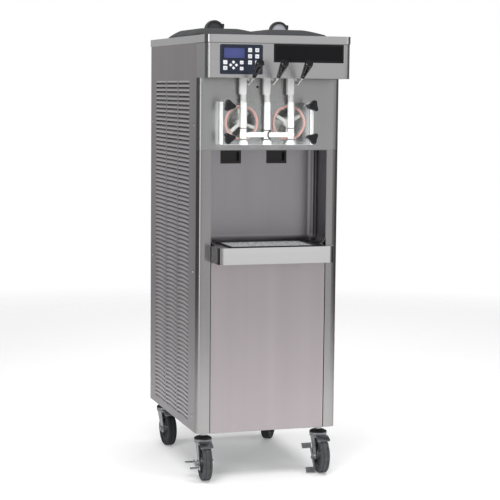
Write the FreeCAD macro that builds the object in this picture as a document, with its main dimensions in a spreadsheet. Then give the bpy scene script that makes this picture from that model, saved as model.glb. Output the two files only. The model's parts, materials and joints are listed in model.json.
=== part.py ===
"""Floor-standing two-flavour soft serve machine on casters, built as separate sub-parts.

Directions: +X is the viewer's right when facing the spouts, +Y runs to the rear, +Z is up, and the wheels
stand on z = 0.  Lengths are millimetres.  Formulas use cabinet coordinates, whose x = 0 is the cabinet's
centre plane and whose y = 0 is the front of the corner columns; origin_x and origin_y then move the origin to
the floor below the middle of the whole outline.
"""

import FreeCAD, Part
import math
import os
import re
import Sketcher
from FreeCAD import Placement, Rotation, Vector

# ---------------------------------------------------------------- driving dimensions
DIMENSIONS = {
    # whole machine
    "origin_x": -12.02, "origin_y": 223.84,
    "cabinet_width": 507.5, "cabinet_depth": 658.0, "cabinet_bottom": 163.0, "cabinet_top": 1518.0,
    "corner_radius": 25.0, "gauge": 1.5, "fit_gap": 0.3,
    # header, band and freezer front
    "header_overhang": 101.5, "header_bottom": 1376.5, "band_height": 25.5, "header_lip": 15.0,
    "wrap_depth": 25.0, "column_width": 46.25, "recess_top": 1135.0,
    # dispensing recess and shelf
    "recess_half": 206.0, "recess_depth": 119.5, "recess_cove": 25.0, "liner_gauge": 1.2,
    "shelf_top": 811.0, "shelf_bottom": 755.0, "shelf_reach": 99.0, "shelf_corner": 19.0,
    "tray_centre": -8.0, "tray_width": 296.0, "tray_front": -82.0, "tray_back": 86.0, "tray_drop": 34.0,
    "tray_wall": 2.5, "tray_rim": 7.0, "grid_bar": 4.0,
    # lower front panel and frame
    "door_fold": 20.0, "pan_inset": 8.0,
    # drain drawers
    "drawer_width": 74.5, "drawer_height": 47.0, "drawer_bottom": 1083.0, "drawer_length": 210.0,
    "drawer_wall": 2.5, "left_drawer": -102.8, "right_drawer": 63.8,
    # side louvres
    "louvre_pitch": 15.1, "louvre_rows": 78, "louvre_first": 191.0, "louvre_slot": 6.5, "louvre_rise": 7.5,
    "louvre_lean": 5.0, "louvre_length": 144.0, "louvre_front": 113.5, "louvre_step": 158.5,
    "screw_low": 218.0, "screw_step": 500.5, "screw_front": 60.0, "screw_back": 630.0,
    # freezing cylinders, door and spigots
    "freezer_centre": -19.5, "barrel_offset": 84.0, "barrel_height": 1227.0, "barrel_bore": 51.0,
    "barrel_outer": 57.0, "barrel_length": 420.0, "flange_radius": 60.0, "seal_thick": 5.0,
    "freezer_door_half": 161.5, "freezer_door_bottom": 1154.0, "freezer_door_top": 1297.0,
    "freezer_door_front": -45.0, "spigot_depth": -25.0, "spigot_radius": 12.0, "running_gap": 0.08,
    "spigot_bottom": 1167.0, "spigot_neck": 9.0, "block_bottom": 1322.0, "block_top": 1410.0,
    "block_left": 14.0, "block_right": 8.0, "block_half": 9.0, "cap_radius": 18.5, "cap_bore": 8.0,
    "stud_x": 147.0, "stud_low": 1176.5, "stud_high": 1284.5, "stud_radius": 4.5,
    "knob_face": -86.0, "knob_back": -62.0, "knob_reach": 21.0, "knob_lobe": 8.5, "knob_core": 14.5,
    # draw handles
    "pivot_depth": -75.0, "pivot_height": 1392.0, "pivot_radius": 5.0, "hub_radius": 9.0, "hub_width": 20.0,
    "rod_radius": 5.0, "arm_radius": 3.0, "slot_below": 7.0, "slot_above": 10.0,
    "bend_depth": -74.0, "bend_height": 1350.0,
    "grip_depth": -146.0, "grip_height": 1381.0, "tip_depth": -213.0, "tip_height": 1428.0,
    "grip_small": 7.0, "grip_large": 14.0,
    # control panel and name plate
    "panel_left": -209.0, "panel_width": 147.6, "panel_bottom": 1388.0, "panel_height": 98.0,
    "panel_thick": 1.4, "window_left": -196.2, "window_width": 72.5, "window_bottom": 1440.0,
    "window_height": 35.6, "plate_left": -22.5, "plate_width": 246.7, "plate_bottom": 1429.0,
    "plate_height": 61.0, "plate_thick": 2.0,
    # hoppers and lids
    "hopper_centre": 119.5, "hopper_width": 200.0, "hopper_front": 95.0, "hopper_length": 370.0,
    "hopper_depth": 140.0, "hopper_rim": 8.0, "hopper_corner": 30.0,
    "lid_width": 231.0, "lid_front": 65.0, "lid_length": 430.0, "lid_edge": 13.0, "lid_height": 28.0,
    "lid_corner": 30.0, "lid_wall": 3.0, "lid_top_shift": 20.0, "lid_handle_radius": 35.0,
    "lid_handle_thick": 22.0,
    # augers and drive
    "shaft_radius": 9.0, "auger_reach": 50.4, "gearbox_front": 430.0, "gearbox_length": 95.0,
    "gearbox_size": 108.0, "motor_radius": 52.0, "motor_length": 105.0,
    "deck_height": 1140.0, "deck_gauge": 3.0,
    # refrigeration
    "compressor_x": 115.0, "compressor_y": 320.0, "compressor_radius": 88.0, "compressor_height": 240.0,
    "condenser_half": 190.0, "condenser_front": 592.0, "condenser_thick": 44.0, "condenser_bottom": 175.0,
    "condenser_height": 400.0, "fan_height": 375.0, "fan_radius": 160.0, "fan_motor_radius": 42.0,
    "fan_setback": 20.0, "fan_chord": 70.0,
    "line_radius": 5.0, "line_front": 200.0, "line_back": 380.0,
    # casters
    "caster_x": 211.5, "caster_front": 45.0, "caster_back": 598.0, "caster_trail": 38.0,
    "front_stem_shift": 6.0,
    "wheel_radius": 63.5, "tread_width": 32.0, "hub_half": 18.5, "axle_radius": 5.0,
    "stem_radius": 6.5, "cap_top": 155.0, "cap_bottom": 138.0, "swivel_radius": 30.0,
    "yoke_top": 137.5, "yoke_plate": 130.0, "leg_gauge": 3.2, "leg_gap": 20.0,
    "brake_y": 18.0, "brake_height": 50.0, "brake_reach": 56.0, "brake_pad_reach": 57.0,
    # rear cord entry
    "cord_x": -190.0, "cord_height": 240.0, "cord_bore": 10.0, "cord_length": 18.0,
}

# places that repeat, as formulas of the dimensions
BARREL_PLACES = {"left": "freezer_centre - barrel_offset", "right": "freezer_centre + barrel_offset"}
SPIGOT_PLACES = {"left": BARREL_PLACES["left"], "centre": "freezer_centre", "right": BARREL_PLACES["right"]}
STUD_PLACES = {
    "upper_left": ("freezer_centre - stud_x", "stud_high"),
    "upper_right": ("freezer_centre + stud_x", "stud_high"),
    "lower_left": ("freezer_centre - stud_x", "stud_low"),
    "lower_right": ("freezer_centre + stud_x", "stud_low"),
}
CASTER_PLACES = {
    "front_left": ("-caster_x - front_stem_shift", "caster_front"),
    "front_right": ("caster_x - front_stem_shift", "caster_front"),
    "rear_left": ("-caster_x", "caster_back"),
    "rear_right": ("caster_x", "caster_back"),
}
HOPPER_SIGNS = {"left": "-", "right": ""}

# how each copy is turned at rest, in degrees, and where its grooves lie, in millimetres
CASTER_YAWS = {"front_left": -4.5, "front_right": -3.0, "rear_left": 4.0, "rear_right": -32.0}
BRAKE_TILTS = {"front_left": 0.0, "front_right": 54.0}
KNOB_TURNS = {"upper_left": 80.0, "upper_right": 40.0, "lower_left": 100.0, "lower_right": 15.0}
AUGER_TURNS = {"left": 100.0, "right": 30.0}
FAN_BLADES = 5
FAN_PITCH = 20.0
SEAL_LEVELS = {"left": (1209.0, 1172.0), "centre": (1202.0, 1172.0), "right": (1209.0, 1172.0)}

doc = FreeCAD.newDocument("SoftServeMachine")
sheet = doc.addObject("Spreadsheet::Sheet", "Dimensions")
sub_parts = []


def fill_sheet():
    """Write every driving dimension into the sheet as a plain number with its alias."""
    for row, (alias, number) in enumerate(DIMENSIONS.items(), start=1):
        sheet.set(f"A{row}", alias)
        sheet.set(f"B{row}", str(number))
        sheet.setAlias(f"B{row}", alias)
    doc.recompute()


class SheetSizes:
    """Reads a driving dimension back from the sheet, as sizes.cabinet_width."""

    def __getattr__(self, alias):
        return float(sheet.get(alias))


sizes = SheetSizes()

# ---------------------------------------------------------------- binding and placing
WORD = re.compile(r"[a-z][a-z_]*[a-z]")
TURNS = {
    "z": Rotation(),
    "x": Rotation(Vector(0, 1, 0), 90),
    "y": Rotation(Vector(1, 0, 0), -90),
}


def linked(formula):
    """The formula with every sheet alias in it spelled as a reference to the sheet."""
    return WORD.sub(lambda word: f"Dimensions.{word.group()}" if word.group() in DIMENSIONS else word.group(),
                    str(formula))


def bind(item, **formulas):
    for prop, formula in formulas.items():
        item.setExpression(prop, linked(formula))


def place(item, x="0", y="0", z="0", turn=None):
    """Put an object at cabinet coordinates x, y, z, each a formula."""
    if turn is not None:
        item.Placement = Placement(Vector(), turn)
    item.setExpression("Placement.Base.x", linked(f"({x}) - origin_x"))
    item.setExpression("Placement.Base.y", linked(f"({y}) - origin_y"))
    item.setExpression("Placement.Base.z", linked(z))


def keep(item, label):
    """Record an object as a finished sub-part: its label names its file."""
    item.Label = label
    sub_parts.append(item)
    return item


# ---------------------------------------------------------------- primitives and booleans
def box(name, x, y, z, length, width, height):
    item = doc.addObject("Part::Box", name)
    bind(item, Length=length, Width=width, Height=height)
    place(item, x, y, z)
    return item


def cylinder(name, x, y, z, radius, height, along="z"):
    item = doc.addObject("Part::Cylinder", name)
    bind(item, Radius=radius, Height=height)
    place(item, x, y, z, TURNS[along])
    return item


def cone(name, x, y, z, low_radius, high_radius, height, turn=None):
    item = doc.addObject("Part::Cone", name)
    bind(item, Radius1=low_radius, Radius2=high_radius, Height=height)
    place(item, x, y, z, turn)
    return item


def torus(name, x, y, z, ring_radius, wire_radius, along="z"):
    item = doc.addObject("Part::Torus", name)
    bind(item, Radius1=ring_radius, Radius2=wire_radius)
    place(item, x, y, z, TURNS[along])
    return item


def fuse(name, *pieces):
    item = doc.addObject("Part::MultiFuse", name)
    item.Shapes = list(pieces)
    return item


def cut(name, base, *tools):
    item = doc.addObject("Part::Cut", name)
    item.Base = base
    item.Tool = tools[0] if len(tools) == 1 else fuse(name + "_tools", *tools)
    return item


def group(name, *pieces):
    """Several separate solids held as one sub-part."""
    item = doc.addObject("Part::Compound", name)
    item.Links = list(pieces)
    return item


def fillet(name, base, radius, wanted):
    """Round the edges of base that wanted(edge) picks."""
    doc.recompute()
    item = doc.addObject("Part::Fillet", name)
    item.Base = base
    item.Edges = [(i, radius, radius) for i, edge in enumerate(base.Shape.Edges, start=1) if wanted(edge)]
    return item


def shape_part(label, shape):
    """A sub-part whose shape is made directly in cabinet coordinates."""
    item = doc.addObject("Part::Feature", label)
    item.Shape = shape
    to_origin = Placement(Vector(-sizes.origin_x, -sizes.origin_y, 0), Rotation())
    item.Placement = to_origin.multiply(shape.Placement)
    return item


# ---------------------------------------------------------------- sketches and bodies
def new_body(name):
    body = doc.addObject("PartDesign::Body", name)
    place(body)
    return body


def new_sketch(body, name, role, offset="0"):
    """A sketch on one of the body's own origin planes, moved along that plane's normal by offset."""
    sketch = body.newObject("Sketcher::SketchObject", name)
    plane = [feature for feature in body.Origin.OriginFeatures if feature.Role == role][0]
    sketch.AttachmentSupport = (plane, "")
    sketch.MapMode = "FlatFace"
    sketch.setExpression("AttachmentOffset.Base.z", linked(offset))
    return sketch


def constrain(sketch, kind, formula, *places):
    index = sketch.addConstraint(Sketcher.Constraint(kind, *places, 1.0))
    sketch.setExpression(f"Constraints[{index}]", linked(formula))


def draw_rectangle(sketch, left, low, width, height):
    """A rectangle whose lower left corner and sides follow four formulas."""
    corners = [Vector(0, 0, 0), Vector(1, 0, 0), Vector(1, 1, 0), Vector(0, 1, 0)]
    first = sketch.GeometryCount
    for i in range(4):
        sketch.addGeometry(Part.LineSegment(corners[i], corners[(i + 1) % 4]), False)
    for i in range(4):
        sketch.addConstraint(Sketcher.Constraint("Coincident", first + i, 2, first + (i + 1) % 4, 1))
    for i, kind in enumerate(("Horizontal", "Vertical", "Horizontal", "Vertical")):
        sketch.addConstraint(Sketcher.Constraint(kind, first + i))
    constrain(sketch, "DistanceX", width, first, 1, first, 2)
    constrain(sketch, "DistanceY", height, first + 1, 1, first + 1, 2)
    constrain(sketch, "DistanceX", left, -1, 1, first, 1)
    constrain(sketch, "DistanceY", low, -1, 1, first, 1)


def draw_circle(sketch, x, y, radius):
    first = sketch.GeometryCount
    sketch.addGeometry(Part.Circle(Vector(0, 0, 0), Vector(0, 0, 1), 1.0), False)
    constrain(sketch, "Radius", radius, first)
    constrain(sketch, "DistanceX", x, -1, 1, first, 3)
    constrain(sketch, "DistanceY", y, -1, 1, first, 3)


def pad(body, sketch, length, name):
    feature = body.newObject("PartDesign::Pad", name)
    feature.Profile = sketch
    bind(feature, Length=length)
    sketch.Visibility = False
    return feature


def pocket(body, sketch, length, name, reverse=False):
    feature = body.newObject("PartDesign::Pocket", name)
    feature.Profile = sketch
    feature.Reversed = reverse
    bind(feature, Length=length)
    return feature


def upright(edge):
    """True for a straight edge along z."""
    if edge.Curve.TypeId != "Part::GeomLine":
        return False
    return abs(edge.Curve.Direction.z) > 0.999


def rounded_block(name, left, front, low, length, width, height, radius, front_only=False):
    """A padded rectangle whose upright edges, or only the two at its front, are rounded."""
    body = new_body(name)
    sketch = new_sketch(body, name + "_outline", "XY_Plane", low)
    draw_rectangle(sketch, left, front, length, width)
    pad(body, sketch, height, name + "_pad")
    doc.recompute()
    tip = body.Tip
    middle = tip.Shape.BoundBox.Center.y
    picked = [f"Edge{i}" for i, edge in enumerate(tip.Shape.Edges, start=1)
              if upright(edge) and not (front_only and edge.BoundBox.YMin > middle)]
    corners = body.newObject("PartDesign::Fillet", name + "_corners")
    corners.Base = (tip, picked)
    bind(corners, Radius=radius)
    return body


# ---------------------------------------------------------------- shape helpers for bent rods
def rounded_path(points, bend):
    """A wire through the points whose inner corners are arcs of radius bend."""
    edges = []
    start = points[0]
    for before, corner, after in zip(points, points[1:], points[2:]):
        into = (before - corner).normalize()
        out = (after - corner).normalize()
        half = 0.5 * into.getAngle(out)
        reach = bend / math.tan(half)
        middle = corner + (into + out).normalize() * (bend / math.sin(half) - bend)
        first, last = corner + into * reach, corner + out * reach
        edges.append(Part.makeLine(start, first))
        edges.append(Part.Arc(first, middle, last).toShape())
        start = last
    edges.append(Part.makeLine(start, points[-1]))
    return Part.Wire(edges)


def bent_rod(points, bend, radius):
    """A round rod along a path with rounded corners."""
    path = rounded_path(points, bend)
    section = Part.Wire(Part.makeCircle(radius, points[0], points[1] - points[0]))
    return path.makePipeShell([section], True, False)


# ---------------------------------------------------------------- cabinet
def cabinet_wrap(name, low, height, front="0", depth="wrap_depth", floor="-1"):
    """Sheet wrapped round the two front corners: a rounded block, its inside, and the block behind it.

    The inside starts at floor above the lower edge: -1 leaves the sheet open, more gives it a bottom."""
    outer = rounded_block(name + "_outer", "-cabinet_width / 2", front, low, "cabinet_width",
                          f"2 * ({depth})", height, "corner_radius", front_only=True)
    inner = rounded_block(name + "_inner", "gauge - cabinet_width / 2", f"({front}) + gauge",
                          f"({low}) + ({floor})", "cabinet_width - 2 * gauge", f"2 * ({depth})",
                          f"({height}) + gauge", "corner_radius - gauge", front_only=True)
    behind = box(name + "_behind", "-cabinet_width", f"({front}) + ({depth})", f"({low}) - 1",
                 "2 * cabinet_width", f"2 * ({depth})", f"({height}) + 2")
    return outer, inner, behind


def build_base_frame():
    """Welded chassis: floor pan, four posts, the deck that carries the drive, and the drawers' housings."""
    pan = cut(
        "pan",
        box("pan_outer", "pan_inset - cabinet_width / 2", "27", "cabinet_bottom",
            "cabinet_width - 2 * pan_inset", "cabinet_depth - 30", "40"),
        box("pan_inner", "pan_inset + 2 - cabinet_width / 2", "29", "cabinet_bottom + 3",
            "cabinet_width - 2 * pan_inset - 4", "cabinet_depth - 34", "40"),
    )
    posts = []
    for side, x in (("left", "pan_inset + 1 - cabinet_width / 2"),
                    ("right", "cabinet_width / 2 - pan_inset - 21")):
        for end, y in (("front", "135"), ("back", "cabinet_depth - 35")):
            posts.append(box(f"{side}_{end}_post", x, y, "cabinet_bottom + 3", "20", "30",
                             "cabinet_top - cabinet_bottom - 10"))
    deck = box("drive_deck", "pan_inset + 1 - cabinet_width / 2", "135", "deck_height",
               "cabinet_width - 2 * pan_inset - 2", "cabinet_depth - 140", "deck_gauge")
    housings = []
    for side in ("left", "right"):
        housings.append(cut(
            f"{side}_housing",
            box(f"{side}_housing_outer", f"{side}_drawer - drawer_width / 2 - 2", "122", "drawer_bottom - 2",
                "drawer_width + 4", "drawer_length + 10", "deck_height - drawer_bottom + 2"),
            box(f"{side}_housing_inner", f"{side}_drawer - drawer_width / 2", "121", "drawer_bottom",
                "drawer_width", "drawer_length + 20", "drawer_height + 1"),
        ))
    body = fuse("welded_frame", pan, *posts, deck, *housings)
    holes = [cylinder(f"stem_hole_{i}", x, y, "cabinet_bottom - 1", "stem_radius + 0.5", "5")
             for i, (x, y) in enumerate(CASTER_PLACES.values())]
    holes += [cylinder(f"line_hole_{i}", "freezer_centre", y, "deck_height - 5", "line_radius + 4", "20")
              for i, y in enumerate(("line_front", "line_back"))]
    return keep(cut("base_frame", body, *holes), "base_frame")


def build_side_panels():
    """Two louvred side sheets: every slot has a blade leaning inward from its lower edge."""
    outer = sizes.cabinet_width / 2
    low, high = sizes.cabinet_bottom, sizes.cabinet_top - 3
    front, back = sizes.wrap_depth + sizes.fit_gap, sizes.cabinet_depth - 2
    gauge = sizes.gauge

    def rectangle(y, z, length, height):
        corners = [Vector(outer, y, z), Vector(outer, y + length, z),
                   Vector(outer, y + length, z + height), Vector(outer, y, z + height)]
        return Part.makePolygon(corners + corners[:1])

    slots, blades = [], []
    for column in range(3):
        y = sizes.louvre_front + column * sizes.louvre_step
        for row in range(int(sizes.louvre_rows)):
            z = sizes.louvre_first + row * sizes.louvre_pitch
            slots.append(rectangle(y, z, sizes.louvre_length, sizes.louvre_slot))
            profile = [Vector(outer, y, z), Vector(outer - gauge, y, z),
                       Vector(outer - gauge - sizes.louvre_lean, y, z + sizes.louvre_rise),
                       Vector(outer - sizes.louvre_lean, y, z + sizes.louvre_rise)]
            face = Part.Face(Part.makePolygon(profile + profile[:1]))
            blades.append(face.extrude(Vector(0, sizes.louvre_length, 0)))
    for y in (sizes.screw_front, sizes.screw_back):
        for level in range(3):
            centre = Vector(outer, y, sizes.screw_low + level * sizes.screw_step)
            slots.append(Part.Wire(Part.makeCircle(2.8, centre, Vector(1, 0, 0))))
    outline = rectangle(front, low, back - front, high - low)
    sheet_face = Part.makeFace([outline] + slots, "Part::FaceMakerBullseye")
    right = sheet_face.extrude(Vector(-gauge, 0, 0)).fuse(blades)
    left = right.mirror(Vector(), Vector(1, 0, 0))
    return keep(shape_part("side_panels", Part.makeCompound([left, right])), "side_panels")


def build_rear_panel():
    """Rear sheet with air slots in front of the condenser and a hole for the cord gland."""
    body = new_body("rear_panel")
    outline = new_sketch(body, "rear_outline", "XZ_Plane", "gauge - cabinet_depth")
    draw_rectangle(outline, "gauge + fit_gap - cabinet_width / 2", "cabinet_bottom",
                   "cabinet_width - 2 * gauge - 2 * fit_gap", "cabinet_top - 3 - cabinet_bottom")
    pad(body, outline, "gauge", "rear_sheet").Reversed = True
    vents = new_sketch(body, "rear_vents", "XZ_Plane", "-cabinet_depth - 1")
    for column in range(2):
        for row in range(14):
            draw_rectangle(vents, f"{column} * 160 - 150", f"cabinet_bottom + 100 + {row} * 24", "140", "9")
    draw_circle(vents, "cord_x", "cord_height", "cord_bore + 3")
    pocket(body, vents, "gauge + 4", "rear_openings", reverse=True)
    return keep(body, "rear_panel")


def build_top_deck():
    """Top sheet with its turned-down band; the two mix hoppers hang in its openings."""
    skin = "gauge + fit_gap"
    outer = rounded_block("deck_outer", f"-cabinet_width / 2 - ({skin})", f"-header_overhang - ({skin})",
                          "cabinet_top - band_height", f"cabinet_width + 2 * ({skin})",
                          f"header_overhang + cabinet_depth + 2 * ({skin})", "band_height",
                          "corner_radius", front_only=True)
    inner = rounded_block("deck_inner", "-cabinet_width / 2 - fit_gap", "-header_overhang - fit_gap",
                          "cabinet_top - band_height - 1", "cabinet_width + 2 * fit_gap",
                          "header_overhang + cabinet_depth + 2 * fit_gap", "band_height - gauge + 1",
                          "corner_radius - gauge", front_only=True)
    wells = [rounded_block(f"{side}_well_opening", f"{sign}hopper_centre - hopper_width / 2 - 0.5",
                           "hopper_front - 0.5", "cabinet_top - 5", "hopper_width + 1", "hopper_length + 1",
                           "10", "hopper_corner + 0.5")
             for side, sign in HOPPER_SIGNS.items()]
    return keep(cut("top_deck", outer, inner, *wells), "top_deck")


def build_header_panel():
    """Overhanging header front: wraps both corners and returns inward along its lower edge."""
    height = "cabinet_top - header_bottom - 3"
    outer, inner, behind = cabinet_wrap("header", "header_bottom", height, "-header_overhang",
                                        "header_overhang + wrap_depth", "gauge")
    throat = box("header_throat", "header_lip - cabinet_width / 2", "header_lip - header_overhang",
                 "header_bottom - 1", "cabinet_width - 2 * header_lip", "3 * header_overhang", "10")
    return keep(cut("header_panel", outer, inner, behind, throat), "header_panel")


def build_corner_columns():
    """The two rounded front columns below the freezer, each with an inner edge folded to the rear."""
    outer, inner, behind = cabinet_wrap("column", "cabinet_bottom", "recess_top - cabinet_bottom - 0.4")
    middle = box("column_middle", "column_width - cabinet_width / 2", "-1", "cabinet_bottom - 1",
                 "cabinet_width - 2 * column_width", "100", "cabinet_top")
    shells = cut("column_shells", outer, inner, behind, middle)
    folds = [box(f"{side}_column_fold", x, "0", "cabinet_bottom", "gauge", "20",
                 "recess_top - cabinet_bottom - 0.4")
             for side, x in (("left", "column_width - cabinet_width / 2 - gauge"),
                             ("right", "cabinet_width / 2 - column_width"))]
    return keep(fuse("corner_columns", shells, *folds), "corner_columns")


def build_freezer_front():
    """Panel behind the clear door, wrapped round both corners, with openings for barrels and studs."""
    outer, inner, behind = cabinet_wrap("front", "recess_top", "header_bottom - recess_top - 0.4",
                                        floor="gauge")
    barrels = [cylinder(f"{side}_barrel_opening", x, "-2", "barrel_height", "flange_radius + 0.3", "10", "y")
               for side, x in BARREL_PLACES.items()]
    studs = [cylinder(f"stud_opening_{i}", x, "-2", z, "stud_radius + 0.5", "10", "y")
             for i, (x, z) in enumerate(STUD_PLACES.values())]
    weep = cylinder("weep_hole", "freezer_centre - 27", "-2", "header_bottom - 29", "3", "10", "y")
    return keep(cut("freezer_front_panel", outer, inner, behind, *barrels, *studs, weep),
                "freezer_front_panel")


def build_recess_liner():
    """One-piece liner of the dispensing recess: coved back corners, coved floor and a flat ceiling."""
    half, depth = sizes.recess_half, sizes.recess_depth
    low, high = sizes.shelf_top, sizes.recess_top - 0.4
    front, cove, gauge = 0.4, sizes.recess_cove, sizes.liner_gauge

    def coved(grow):
        block = Part.makeBox(2 * (half + grow), depth - front + grow, high - gauge - low + 2 * grow,
                             Vector(-half - grow, front, low - grow))
        rounded = []
        for edge in block.Edges:
            middle = edge.BoundBox.Center
            at_back = middle.y > depth + grow - 0.1 and middle.z < high - 2 * gauge
            at_floor = middle.z < low - grow + 0.1 and middle.y > front + 0.1
            if at_back or at_floor:
                rounded.append(edge)
        return block.makeFillet(cove + grow, rounded)

    shell = coved(gauge).cut(coved(0.0))
    tray_left = sizes.tray_centre - sizes.tray_width / 2 - 0.6
    shell = shell.cut(Part.makeBox(sizes.tray_width + 1.2, sizes.tray_back + 0.6, 40,
                                   Vector(tray_left, 0, low - 20)))
    for centre in (sizes.left_drawer, sizes.right_drawer):
        corner = Vector(centre - sizes.drawer_width / 2, depth - 5, sizes.drawer_bottom)
        shell = shell.cut(Part.makeBox(sizes.drawer_width, 20, sizes.drawer_height, corner))
    return keep(shape_part("recess_liner", shell), "recess_liner")


def build_lower_front_panel():
    """Plain panel over the condensing compartment, folded back on all four sides."""
    height = "shelf_bottom - cabinet_bottom - 2"
    outer = box("lower_outer", "-recess_half", "0", "cabinet_bottom", "2 * recess_half", "door_fold", height)
    inner = box("lower_inner", "gauge - recess_half", "gauge", "cabinet_bottom + gauge",
                "2 * recess_half - 2 * gauge", "door_fold", f"{height} - 2 * gauge")
    rounded = fillet("lower_rounded", outer, 2.0, lambda edge: edge.BoundBox.YMax < -sizes.origin_y + 0.1)
    return keep(cut("lower_front_panel", rounded, inner), "lower_front_panel")


def build_splash_shelf():
    """Bright shelf below the spouts with a deep apron and an opening that carries the drip tray."""
    outer = rounded_block("shelf_outer", "-recess_half", "-shelf_reach", "shelf_bottom", "2 * recess_half",
                          "shelf_reach", "shelf_top - shelf_bottom", "shelf_corner", front_only=True)
    inner = rounded_block("shelf_inner", "gauge - recess_half", "gauge - shelf_reach", "shelf_bottom - 1",
                          "2 * recess_half - 2 * gauge", "shelf_reach",
                          "shelf_top - shelf_bottom + 1 - gauge", "shelf_corner - gauge", front_only=True)
    opening = box("shelf_opening", "tray_centre - tray_width / 2 - 0.6", "tray_front - 0.6", "shelf_top - 10",
                  "tray_width + 1.2", "shelf_reach", "20")
    return keep(cut("splash_shelf", outer, inner, opening), "splash_shelf")


# ---------------------------------------------------------------- drip tray and drain drawers
def build_drip_tray():
    """Black tray hung by its rim in the shelf's opening."""
    left, front = "tray_centre - tray_width / 2", "tray_front"
    depth = "tray_back - tray_front"
    bowl = box("tray_bowl", f"{left}", front, "shelf_top - tray_drop", "tray_width", depth, "tray_drop + 0.2")
    rim = box("tray_rim_plate", f"{left} - 5", f"{front} - 5", "shelf_top + 0.2", "tray_width + 10",
              f"{depth} + 10", "3")
    inside = box("tray_inside", f"{left} + tray_wall", f"{front} + tray_wall",
                 "shelf_top - tray_drop + tray_wall", "tray_width - 2 * tray_wall",
                 f"{depth} - 2 * tray_wall", "tray_drop + 10")
    return keep(cut("drip_tray", fuse("tray_solid", bowl, rim), inside), "drip_tray")


def build_drip_grid():
    """Bright grid of long bars on two cross bars, resting inside the tray's rim."""
    gap = "tray_wall + 0.8"
    left, front = f"tray_centre - tray_width / 2 + {gap}", f"tray_front + {gap}"
    length, depth = f"tray_width - 2 * ({gap})", f"tray_back - tray_front - 2 * ({gap})"
    bars = []
    for i in range(9):
        bars.append(box(f"grid_bar_{i}", left, f"{front} + {i} * (({depth}) - grid_bar * 2) / 8",
                        "shelf_top - 3", length, "grid_bar * 2", "4.5"))
    for i in range(3):
        bars.append(box(f"grid_tie_{i}", f"{left} + {i} * (({length}) - grid_bar) / 2", front,
                        "shelf_top - 8", "grid_bar", depth, "5.5"))
    for end, shift in (("left", "0"), ("right", f"({length}) - grid_bar")):
        bars.append(box(f"{end}_grid_leg", f"{left} + {shift}", f"{front} + 20",
                        "shelf_top - tray_drop + tray_wall + 0.1", "grid_bar", f"{depth} - 40",
                        "tray_drop - tray_wall - 5"))
    return keep(fuse("drip_grid", *bars), "drip_grid")


def build_drain_drawer(side):
    """Black drip drawer with a finger pocket in its front, running in a housing behind the recess."""
    gap = "0.4"
    left = f"{side}_drawer - drawer_width / 2 + {gap}"
    bottom, height = f"drawer_bottom + {gap}", f"drawer_height - 2 * {gap}"
    width = f"drawer_width - 2 * {gap}"
    block = box(f"{side}_drawer_block", left, "recess_depth + 0.5", bottom, width, "drawer_length", height)
    inside = box(f"{side}_drawer_inside", f"{left} + drawer_wall", "recess_depth + 22",
                 f"{bottom} + drawer_wall", f"{width} - 2 * drawer_wall",
                 "drawer_length - 22 - drawer_wall", height)
    grip = box(f"{side}_drawer_pocket", f"{left} + 7", "recess_depth - 1", f"{bottom} + 9", f"{width} - 14",
               "16", "drawer_height - 17")
    return keep(cut(f"{side}_drain_drawer", block, inside, grip), f"{side}_drain_drawer")


# ---------------------------------------------------------------- freezing cylinders, door and spigots
def build_freezing_cylinders():
    """Two jacketed barrels: flange at the front, rear wall with a shaft hole, feed tube on top, foot."""
    barrels = []
    for side, x in BARREL_PLACES.items():
        solid = fuse(
            f"{side}_barrel_solid",
            cylinder(f"{side}_jacket", x, "0", "barrel_height", "barrel_outer", "barrel_length", "y"),
            cylinder(f"{side}_flange", x, "0", "barrel_height", "flange_radius", "6", "y"),
            cylinder(f"{side}_feed", x, "hopper_front + 25", "barrel_height + barrel_bore + 1", "8",
                     "cabinet_top - hopper_depth - barrel_height - barrel_bore - 1.5"),
            box(f"{side}_foot", f"{x} - 35", "barrel_length - 40", "deck_height + deck_gauge", "70", "25",
                "barrel_height - barrel_bore - deck_height - deck_gauge - 2"),
        )
        bore = cylinder(f"{side}_bore", x, "-1", "barrel_height", "barrel_bore", "barrel_length - 9", "y")
        shaft = cylinder(f"{side}_shaft_hole", x, "-1", "barrel_height", "shaft_radius + running_gap",
                         "barrel_length + 10", "y")
        feed = cylinder(f"{side}_feed_bore", x, "hopper_front + 25", "barrel_height + barrel_bore - 5", "6",
                        "cabinet_top")
        barrels.append(cut(f"{side}_barrel", solid, bore, shaft, feed))
    return keep(group("freezing_cylinders", *barrels), "freezing_cylinders")


def build_door_seals():
    """Soft flat rings between the barrels and the door."""
    rings = []
    for side, x in BARREL_PLACES.items():
        ring = cylinder(f"{side}_seal_disc", x, "-seal_thick", "barrel_height", "flange_radius - 1",
                        "seal_thick", "y")
        hole = cylinder(f"{side}_seal_hole", x, "-seal_thick - 1", "barrel_height", "barrel_bore + 0.5",
                        "seal_thick + 2", "y")
        rings.append(cut(f"{side}_seal", ring, hole))
    return keep(group("door_seals", *rings), "door_seals")


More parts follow.
